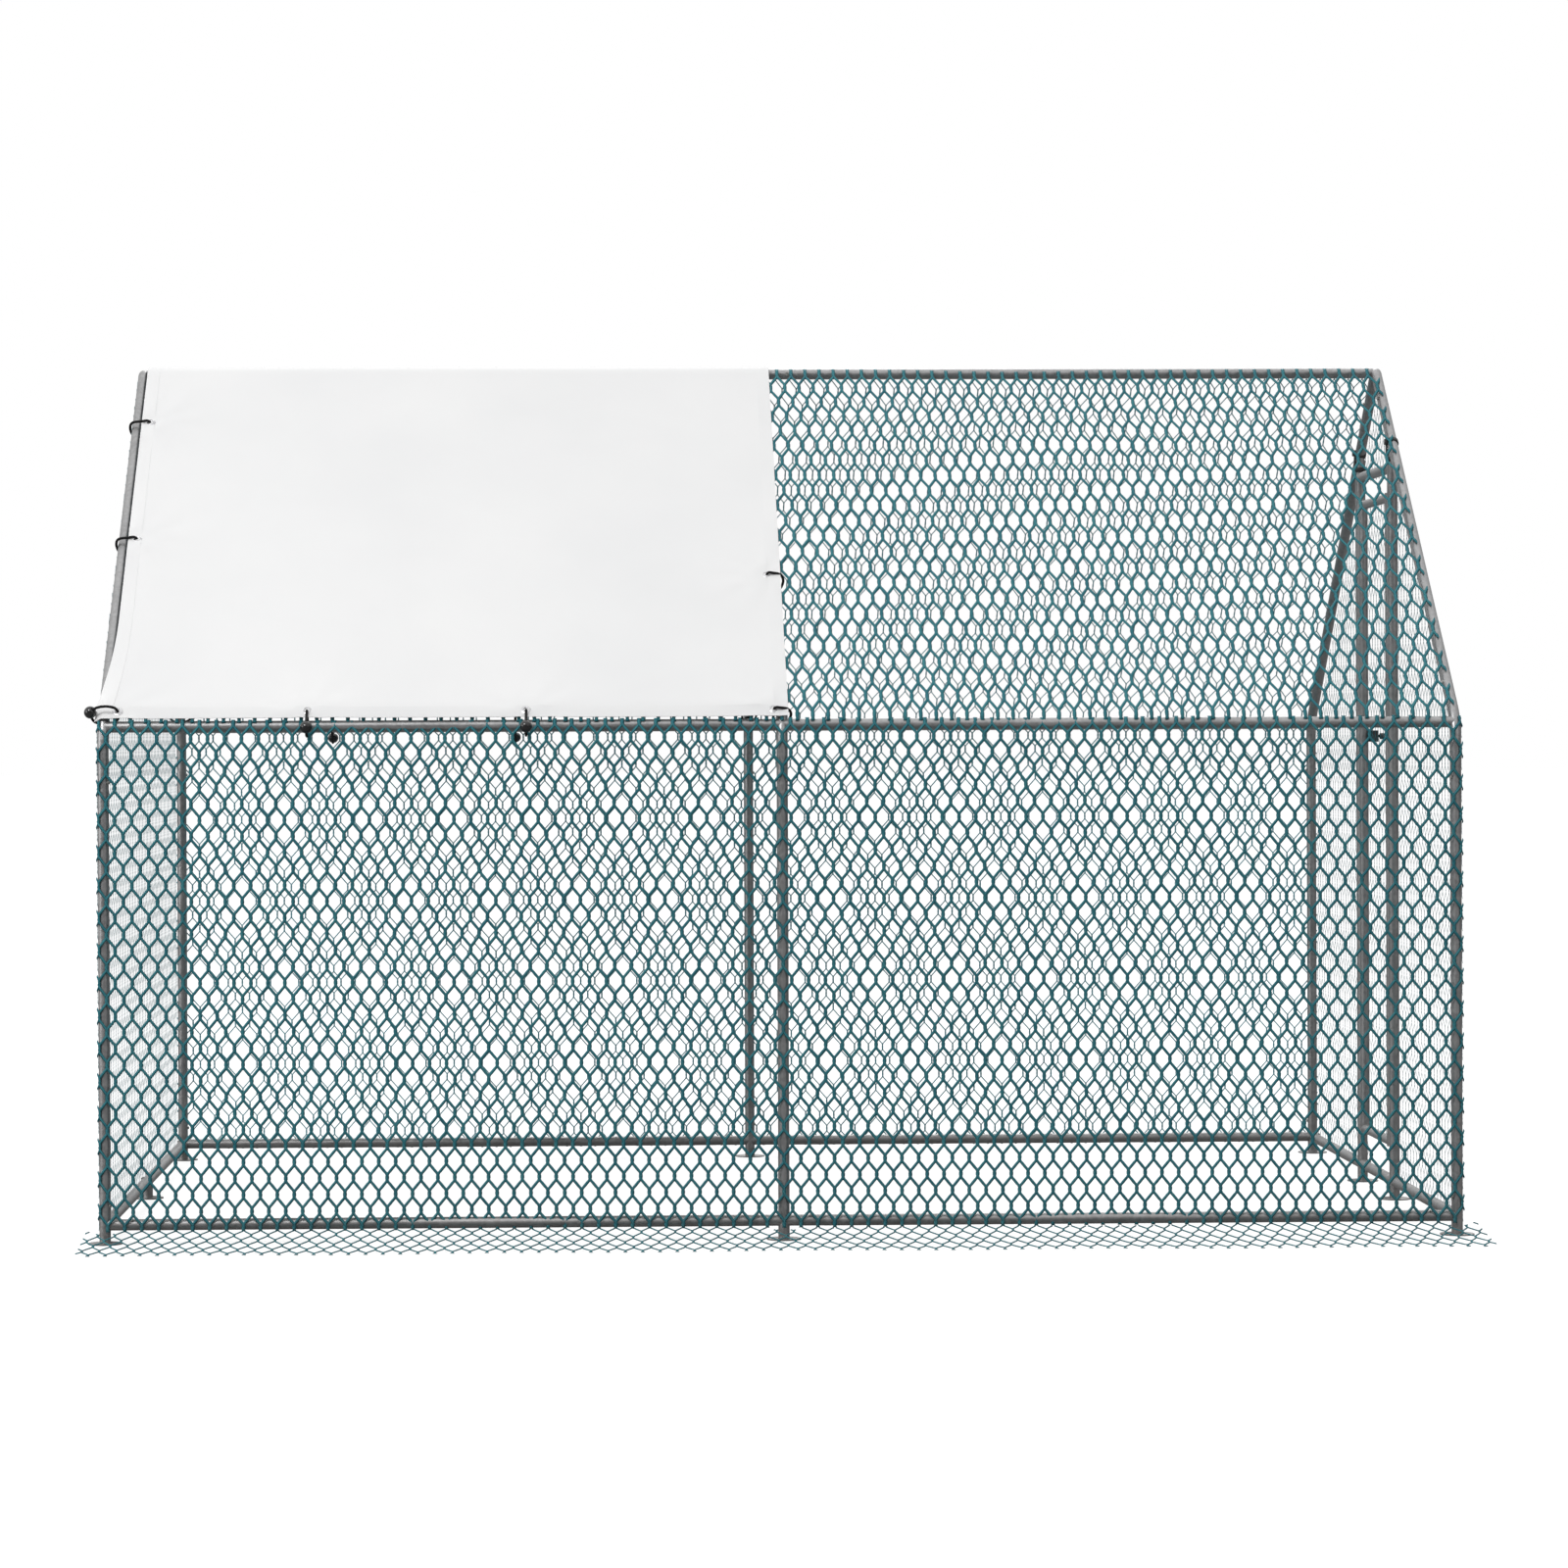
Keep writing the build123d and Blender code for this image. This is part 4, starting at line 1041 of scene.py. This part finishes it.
@dataclass
class Ties:
    """Ball bungees that hold the cover, with their eyelets."""

    palette: Palette
    left_shares: tuple[float, ...] = (0.173, 0.514)
    right_shares: tuple[float, ...] = (0.620,)
    eave_shares: tuple[float, ...] = (0.292, 0.612)
    back_shift: float = -0.05
    back_drop: float = 0.024
    back_rise: float = 0.020
    hem: float = 0.025
    left_inset: float = 0.0325
    middle_inset: float = 0.0180
    cover_left: float = -1.480
    cover_right: float = 0.020
    cover_lift: float = 0.0178
    cover_top: float = 0.0022
    cord: float = 0.0031
    cord_facets: int = 3
    cord_steps: int = 8
    ball: float = 0.0137
    ball_hole: Pair = (0.0028, 0.0036)
    ball_dimple: Pair = (0.86, 0.955)
    ball_part: float = 0.00025
    ball_reach: float = 72.0
    ball_steps: int = 22
    hanging: float = 0.029
    left_route: Route = Route(((-0.0325, -0.0080), (-0.0325, 0.0275), (-0.0080, 0.0232), (0.0135, 0.0208),
                               (0.0182, 0.0020), (0.0130, -0.0180), (0.0000, -0.0300), (-0.0220, -0.0260)),
                              (0.0000, -0.0270))
    corner_route: Route = Route(((-0.0325, -0.0100), (-0.0325, 0.0300), (-0.0120, 0.0390), (0.0120, 0.0360),
                                 (0.0285, 0.0200), (0.0290, 0.0020), (0.0200, -0.0210), (-0.0100, -0.0250)),
                                (0.0285, 0.0175))
    middle_route: Route = Route(((-0.0180, -0.0100), (-0.0180, 0.0272), (-0.0030, 0.0252), (0.0140, 0.0218),
                                 (0.0228, 0.0040), (0.0160, -0.0220), (0.0000, -0.0300), (-0.0150, -0.0260)),
                                (0.0000, -0.0270))
    eave_route: Route = Route(((-0.0196, 0.0162), (0.0075, 0.0383), (0.0150, 0.0240), (0.0340, 0.0120),
                               (0.0415, -0.0020), (0.0300, -0.0200), (0.0000, -0.0230), (-0.0200, -0.0100)),
                              (0.0415, -0.0020))

    def station(self, x: float, side: int, up: float) -> tuple[Vector, Vector]:
        """Place on the tubes' own line under a place on the cover.

        Args:
            x: Place along the coop.
            side: Sign of the slope's Y.
            up: Distance up the slope from the eave corner.

        Returns:
            The place, and the direction out to the cover.
        """
        line = RoofLine(self.cover_lift)
        along = line.at_slope(up)
        h, z = line.place(np.array([along]), np.array([-self.cover_lift]))
        lean = TUBES.slope + max(along - line.eave_start, 0.0) / (TUBES.eave_bend + self.cover_lift)
        return Vector((x, side * h[0], z[0])), Vector((0.0, side * math.sin(lean), math.cos(lean)))

    def tied(self, x: float, side: int, up: float, loop: tuple[Vector, ...], ball: Vector) -> Tie:
        """Tie whose eyelet sits on the cover's upper face."""
        under, normal = self.station(x, side, up)
        return Tie(under + normal * (self.cover_lift + self.cover_top), normal, loop, ball, x, up, side)

    def round_rafter(self, rafter: float, side: int, up: float, inset: float, route: Route) -> Tie:
        """Tie round a rafter.

        Args:
            rafter: X of the rafter.
            side: Sign of the slope's Y.
            up: Distance up the slope from the eave corner.
            inset: From the rafter's axis in to the eyelet.
            route: The way of the cord.

        Returns:
            The tie.
        """
        outward = math.copysign(1.0, rafter) if rafter else 1.0
        axis, normal = self.station(rafter, side, up)
        sideways = Vector((outward, 0.0, 0.0))
        places = [axis + sideways * across + normal * out for across, out in (*route.points, route.ball)]
        return self.tied(rafter - outward * inset, side, up, tuple(places[:-1]), places[-1])

    def round_eave(self, x: float, side: int) -> Tie:
        """Tie round the eave rail, with its ball outside the wall's netting.

        Args:
            x: Place along the coop.
            side: Sign of the slope's Y.

        Returns:
            The tie.
        """
        line = RoofLine(0.0)
        h, z = line.place(np.array([line.eave_middle]), np.array([0.0]))
        drop = self.back_drop if side > 0 else 0.0
        spots = (*self.eave_route.points, self.eave_route.ball)
        places = [Vector((x, side * (h[0] + out), z[0] + high)) for out, high in spots]
        places = [place - UP * drop if abs(place.y) > h[0] + self.hanging else place for place in places]
        rise = TUBES.upward(side) * (self.back_rise if side > 0 else 0.0)
        places[:2] = [place + rise for place in places[:2]]
        return self.tied(x, side, self.edge_up(side), tuple(places[:-1]), places[-1])

    def edge_up(self, side: int) -> float:
        """From the eave corner up to the eyelets of the cover's lower edge, which is higher at the back."""
        return self.hem + (self.back_rise if side > 0 else 0.0)

    def all(self) -> list[Tie]:
        """Every tie of both slopes.

        Returns:
            The ties, the front slope's first.
        """
        ties = []
        width = self.cover_right - self.cover_left
        for side in (-1, 1):
            ups = [TUBES.slope_length * (1 - share) for share in self.left_shares]
            ties.extend(self.round_rafter(-TUBES.post_x, side, up, self.left_inset, self.left_route) for up in ups)
            ties.append(self.round_rafter(-TUBES.post_x, side, self.edge_up(side), self.left_inset,
                                          self.corner_route))
            ups = [*(TUBES.slope_length * (1 - share) for share in self.right_shares), self.edge_up(side)]
            ties.extend(self.round_rafter(0.0, side, up, self.middle_inset, self.middle_route) for up in ups)
            start = self.cover_left + (self.back_shift if side > 0 else 0.0)
            ties.extend(self.round_eave(start + width * share, side) for share in self.eave_shares)
        return ties

    def cord_mesh(self, tie: Tie) -> bpy.types.Mesh:
        """One loop of cord.

        Args:
            tie: The tie that it belongs to.

        Returns:
            The mesh of its tube, in place.
        """
        curve = bpy.data.curves.new("loop", "CURVE")
        curve.dimensions = "3D"
        curve.bevel_depth = self.cord
        curve.bevel_resolution = self.cord_facets
        curve.resolution_u = self.cord_steps
        spline = curve.splines.new("NURBS")
        spline.points.add(len(tie.loop) - 1)
        for point, spot in zip(spline.points, tie.loop):
            point.co = (*spot, 1.0)
        spline.order_u = 3
        spline.use_cyclic_u = True
        holder = bpy.data.objects.new("loop", curve)
        bpy.context.scene.collection.objects.link(holder)
        bpy.context.view_layer.update()
        mesh = bpy.data.meshes.new_from_object(holder.evaluated_get(bpy.context.evaluated_depsgraph_get()))
        bpy.data.objects.remove(holder)
        bpy.data.curves.remove(curve)
        return mesh

    def ball_shape(self) -> Shape:
        """Moulded ball with a parting line and a dimple where the cord goes in.

        Returns:
            The ball, with its hole along Z.
        """
        floor, rim = (self.ball * share for share in self.ball_dimple)
        hole, mouth = self.ball_hole
        profile = [(0.0, -floor), (hole, -floor), (mouth, -rim)]
        for step in range(1, self.ball_steps):
            angle = math.radians(-self.ball_reach + 2 * self.ball_reach * step / self.ball_steps)
            radius = self.ball - (self.ball_part if 2 * step == self.ball_steps else 0.0)
            profile.append((radius * math.cos(angle), radius * math.sin(angle)))
        profile += [(mouth, rim), (hole, floor), (0.0, floor)]
        return spun(profile, 32)

    def eyelet_shape(self) -> Shape:
        """Pressed eyelet with a rolled rim, a flat washer and a barrel through the sheet.

        Returns:
            The eyelet, with its hole along Z.
        """
        rim = [(0.0060, -0.0020), (0.0060, 0.0006), (0.0064, 0.0012), (0.0071, 0.0014), (0.0080, 0.0011),
               (0.0086, 0.0006), (0.0104, 0.0005), (0.0110, 0.0002), (0.0110, -0.0001), (0.0070, -0.0001),
               (0.0070, -0.0020), (0.0060, -0.0020)]
        return spun(rim, 28)

    def build(self) -> None:
        """Makes the cords, balls and eyelets."""
        cords, balls, eyelets = bmesh.new(), bmesh.new(), bmesh.new()
        ball, eyelet = self.ball_shape(), self.eyelet_shape()
        for tie in self.all():
            mesh = self.cord_mesh(tie)
            cords.from_mesh(mesh)
            bpy.data.meshes.remove(mesh)
            add_copy(balls, ball, facing(tie.ball, tie.through))
            add_copy(eyelets, eyelet, facing(tie.eyelet, tie.normal))
        ball.free()
        eyelet.free()
        bmesh.ops.recalc_face_normals(cords, faces=cords.faces[:])
        for bm, node, finish in ((cords, "bungee_cords", Palette.CORD), (balls, "bungee_balls", Palette.BALL),
                                 (eyelets, "cover_eyelets", Palette.EYELET)):
            settle(new_piece(bm, node + "_made", self.palette[finish]), "frame", node)


@dataclass
class PostClips:
    """Moulded clips that tie the door posts' tops to the rafters: a band on each tube, a strap and a buckle."""

    palette: Palette
    post_y: float = 0.22
    drop: float = 0.0383
    wall: float = 0.0026
    width: float = 0.012
    strap: float = 0.012
    gap: float = 0.0001
    edge: float = 0.0008
    rounding: float = 0.2
    buckle: Triple = (0.010, 0.016, 0.015)
    buckle_rise: float = 0.004

    def band(self) -> Shape:
        """Band round a tube, with rounded edges.

        Returns:
            The band, with its tube along Z.
        """
        inner, outer, half, edge = TUBES.tube + self.gap, TUBES.tube + self.wall, self.width / 2, self.edge
        return spun([(inner, -half), (outer - edge, -half), (outer, edge - half), (outer, half - edge),
                     (outer - edge, half), (inner, half), (inner, -half)], 40)

    def block(self, size: Triple, centre: Vector) -> Shape:
        """Box with rounded edges.

        Args:
            size: Its sides.
            centre: Its middle.

        Returns:
            The box in place.
        """
        bm = bmesh.new()
        bmesh.ops.create_cube(bm, size=1.0)
        bmesh.ops.scale(bm, vec=size, verts=bm.verts[:])
        bmesh.ops.bevel(bm, geom=bm.edges[:], offset=self.rounding * min(size), offset_type="OFFSET", segments=2,
                        profile=0.5, affect="EDGES", material=-1)
        bmesh.ops.translate(bm, vec=centre, verts=bm.verts[:])
        return bm

    def build(self) -> None:
        """Makes both clips as one piece."""
        joined, band = bmesh.new(), self.band()
        for side in (-1, 1):
            up = (TUBES.post_y - self.post_y) / math.cos(TUBES.slope)
            crossing = TUBES.on_slope(TUBES.post_x, side, up, 0.0)
            inside = Vector((-TUBES.tube - self.wall / 2 - self.gap, 0.0, 0.0))
            add_copy(joined, band, facing(crossing, TUBES.upward(side)))
            add_copy(joined, band, facing(crossing - UP * self.drop, UP))
            parts = [self.block((self.wall, self.strap, self.drop), crossing + inside - UP * (self.drop / 2)),
                     self.block(self.buckle, crossing + inside + TUBES.normal(side) * self.buckle_rise)]
            for part in parts:
                add_copy(joined, part, Matrix())
                part.free()
        band.free()
        piece = new_piece(joined, "door_post_clips_made", self.palette[Palette.PLASTIC])
        settle(piece, "frame", "door_post_clips")


@dataclass
class RoofCover:
    """Sheet over the left half of the roof, with its hem."""

    palette: Palette
    ties: Ties
    lift: float = 0.0178
    left: float = -1.476
    right: float = 0.014
    short: float = 0.0115
    hem: float = 0.030
    thickness: float = 0.0009
    hem_thickness: float = 0.0003
    hem_gap: float = 0.0001
    step: float = 0.016
    flare: float = 0.034
    flare_length: float = 0.34
    flare_width: float = 0.22
    billow: float = 0.0012
    billow_waves: tuple[Ripple, Ripple] = (Ripple(3.1, 2.2), Ripple(-1.7, 2.3, math.pi / 2))
    pull: float = 0.0070
    pull_rays: float = 9.0
    pull_turn: float = 40.0
    pull_fade: float = 0.055
    pull_rise: float = 0.02
    pull_start: float = 0.55

    @property
    def front(self) -> float:
        """Distance from the ridge to the cover's front edge, which ends just over the eave rail."""
        return RoofLine(self.lift).eave_middle - self.short

    @property
    def back(self) -> float:
        """Distance from the ridge to the cover's back edge, which ends a little higher."""
        return self.front - self.ties.back_rise

    def height(self, x: Array, along: Array) -> Array:
        """How far the sheet stands off its line: drawn to the eyelets, loose between them.

        Args:
            x: Places along the coop.
            along: Distances from the ridge, negative at the front.

        Returns:
            The distances outwards.
        """
        line = RoofLine(self.lift)
        long, cross = (wave.at(x, along) for wave in self.billow_waves)
        out = self.billow * (1.0 + long * cross)
        for tie in self.ties.all():
            where = tie.side * line.at_slope(tie.up)
            away_x, away_s = x - tie.x, along - where
            distance = np.hypot(away_x, away_s)
            angle = np.arctan2(away_s, away_x)
            rays = 0.5 + 0.5 * np.cos(self.pull_rays * angle + self.pull_turn * tie.x)
            near = np.exp(-distance / self.pull_fade)
            out = out + self.pull * rays * near * np.clip(distance / self.pull_rise - self.pull_start, 0.0, 1.0)
        return out

    def panel(self, bm: Shape, low: Pair, high: Pair, lift: float) -> None:
        """Adds a rectangle of sheet, laid over the roof.

        Args:
            bm: The bmesh that grows.
            low: Least X and distance from the ridge.
            high: Greatest X and distance from the ridge.
            lift: Height over the cover's line.
        """
        flat = bmesh.new()
        uv = flat.loops.layers.uv.new("UVMap")
        wide, long = high[0] - low[0], high[1] - low[1]
        across, down = (max(2, round(run / self.step)) for run in (wide, long))
        bmesh.ops.create_grid(flat, x_segments=across, y_segments=down, size=0.5)
        bmesh.ops.scale(flat, vec=(wide, long, 1.0), verts=flat.verts[:])
        bmesh.ops.translate(flat, vec=((low[0] + high[0]) / 2, (low[1] + high[1]) / 2, 0.0), verts=flat.verts[:])
        for face in flat.faces:
            for loop in face.loops:
                loop[uv].uv = loop.vert.co.xy
        line = RoofLine(self.lift)

        def place(spots: Array) -> Array:
            """Lays the flat sheet over the ridge, the eaves and the end rafter.

            Args:
                spots: Places on the flat sheet.

            Returns:
                Places in the coop's frame.
            """
            x, along = spots[:, 0], spots[:, 1]
            low = np.clip((np.abs(along) - self.front + self.flare_length) / self.flare_length, 0.0, 1.0)
            near = np.clip(1.0 - (x - self.left) / self.flare_width, 0.0, 1.0)
            wrapped, out = round_posts(x - self.flare * low ** 2 * near ** 2, self.height(x, along) + lift, self.lift)
            h, z = line.place(np.abs(along), out)
            return np.stack([wrapped, np.sign(along) * h, z], axis=1)

        move_points(flat, place)
        add_copy(bm, flat, Matrix())
        flat.free()

    def finish(self, bm: Shape, name: str, finish: Finish, thickness: float,
               node: Optional[str] = None) -> Piece:
        """Gives a laid sheet its thickness and finish.

        Args:
            bm: The sheet.
            name: Name of the piece.
            finish: Its finish.
            thickness: Its thickness.
            node: The solid that it stands for, if any.

        Returns:
            The piece.
        """
        for edge in bm.edges:
            edge.smooth = not edge.is_boundary
        piece = new_piece(bm, name, self.palette[finish])
        solid = piece.modifiers.new("thickness", "SOLIDIFY")
        solid.thickness = thickness
        solid.offset = 1.0
        settle(piece, "frame", node)
        return piece

    def build(self) -> None:
        """Makes the sheet and its hem."""
        sheet = bmesh.new()
        self.panel(sheet, (self.left, -self.front), (self.right, self.back), 0.0)
        cover = self.finish(sheet, "roof_cover_sheet", Palette.COVER, self.thickness, "roof_cover")
        hem = bmesh.new()
        top = self.thickness + self.hem_gap
        for left in (self.left, self.right - self.hem):
            self.panel(hem, (left, -self.front), (left + self.hem, self.back), top)
        for low in (-self.front, self.back - self.hem):
            self.panel(hem, (self.left + self.hem, low), (self.right - self.hem, low + self.hem), top)
        border = self.finish(hem, "roof_cover_hem", Palette.HEM, self.hem_thickness)


# Studio


@dataclass(frozen=True)
class Lamp:
    """Large soft square lamp: its place, its side and its power in watts."""

    name: str
    spot: Triple
    size: float
    power: float

    def build(self, target: Vector) -> None:
        """Adds the lamp.

        Args:
            target: The point that it is aimed at.
        """
        light = bpy.data.lights.new(self.name, "AREA")
        light.size = self.size
        light.energy = self.power
        lamp = bpy.data.objects.new(self.name, light)
        lamp.location = self.spot
        lamp.rotation_euler = (target - Vector(self.spot)).to_track_quat("-Z", "Y").to_euler()
        bpy.context.scene.collection.objects.link(lamp)


@dataclass(frozen=True)
class Glow:
    """Part of the surround's light that grows towards one end of an axis."""

    axis: str
    sign: float
    power: float
    strength: float


@dataclass
class Studio:
    """Floor, light and camera."""

    eye: Triple = (-0.4500, -10.9702, 1.1094)
    yaw: float = math.radians(1.617)
    tilt: float = math.radians(-0.203)
    roll: float = math.radians(-0.235)
    lens: float = 104.38
    shift: Pair = (0.05, -0.021)
    far: float = 300.0
    floor_size: float = 120.0
    floor_tones: tuple[Colour, Colour] = ((0.24,) * 3, (0.30,) * 3)
    floor_shine: float = 0.80
    surround: float = 0.07
    glows: tuple[Glow, ...] = (Glow("X", -1.0, 4.0, 0.9), Glow("Y", 1.0, 3.0, 0.45), Glow("Z", 1.0, 1.0, 1.25))
    target: Triple = (0.0, 0.0, 0.9)
    lamps: tuple[Lamp, ...] = (Lamp("key", (-4.5, -7.0, 7.5), 2.4, 380.0), Lamp("fill", (6.0, -8.0, 4.0), 5.0, 40.0),
                               Lamp("back", (1.0, 7.0, 7.0), 5.0, 220.0), Lamp("left", (-9.0, -4.0, 2.5), 4.0, 120.0))

    def build(self) -> None:
        """Makes the floor, the sky, the lamps and the camera."""
        self.floor()
        self.sky()
        for lamp in self.lamps:
            lamp.build(Vector(self.target))
        self.camera()
        bpy.context.scene.view_settings.view_transform = "Standard"

    def floor(self) -> None:
        """Plain pale floor."""
        bm = bmesh.new()
        bmesh.ops.create_grid(bm, x_segments=1, y_segments=1, size=self.floor_size)
        material = bpy.data.materials.new("floor")
        material.use_nodes = True
        graph = Graph(material.node_tree)
        shader = material.node_tree.nodes["Principled BSDF"]
        seen = graph.add("ShaderNodeLightPath").outputs["Is Camera Ray"]
        graph.feed(shader.inputs["Base Color"], graph.blend(seen, *((*tone, 1.0) for tone in self.floor_tones)))
        graph.feed(shader.inputs["Emission Strength"], graph.math("MULTIPLY", seen, self.floor_shine))
        shader.inputs["Emission Color"].default_value = WHITE
        shader.inputs["Roughness"].default_value = 0.9
        shader.inputs["Specular IOR Level"].default_value = 0.1
        new_piece(bm, "floor", material, smooth=False)

    def sky(self) -> None:
        """White surround that lights the coop from above and from the sides."""
        world = bpy.data.worlds.new("surround")
        world.use_nodes = True
        graph = Graph(world.node_tree)
        seen = graph.add("ShaderNodeLightPath").outputs["Is Camera Ray"]
        axes = graph.add("ShaderNodeSeparateXYZ", Vector=graph.add("ShaderNodeTexCoord").outputs["Generated"])
        total = self.surround
        for glow in self.glows:
            towards = graph.math("MAXIMUM", graph.math("MULTIPLY", axes.outputs[glow.axis], glow.sign), 0.0)
            part = graph.math("MULTIPLY", graph.math("POWER", towards, glow.power), glow.strength)
            total = graph.math("ADD", part, total)
        back = world.node_tree.nodes["Background"]
        graph.feed(back.inputs["Strength"], graph.math("MAXIMUM", total, seen))
        back.inputs["Color"].default_value = WHITE
        bpy.context.scene.world = world

    def camera(self) -> None:
        """Camera at the photograph's angle."""
        data = bpy.data.cameras.new("camera")
        data.lens = self.lens
        data.shift_x, data.shift_y = self.shift
        data.clip_end = self.far
        ahead = Vector((math.sin(self.yaw) * math.cos(self.tilt), math.cos(self.yaw) * math.cos(self.tilt),
                        math.sin(self.tilt)))
        level = Vector((math.cos(self.yaw), -math.sin(self.yaw), 0.0))
        rise = level.cross(ahead)
        right = math.cos(self.roll) * level + math.sin(self.roll) * rise
        above = math.cos(self.roll) * rise - math.sin(self.roll) * level
        camera = bpy.data.objects.new("camera", data)
        turn = Matrix((right, above, -ahead)).transposed().to_4x4()
        camera.matrix_world = Matrix.Translation(self.eye) @ turn
        bpy.context.scene.collection.objects.link(camera)
        bpy.context.scene.camera = camera


def main() -> None:
    """Builds the scene."""
    logging.basicConfig(level=logging.INFO, format="%(message)s")
    palette = Palette()
    palette.dress_nodes()
    Netting(palette).build()
    ties = Ties(palette)
    ties.build()
    RoofCover(palette, ties).build()
    PostClips(palette).build()
    Studio().build()


if __name__ == "__main__":
    main()
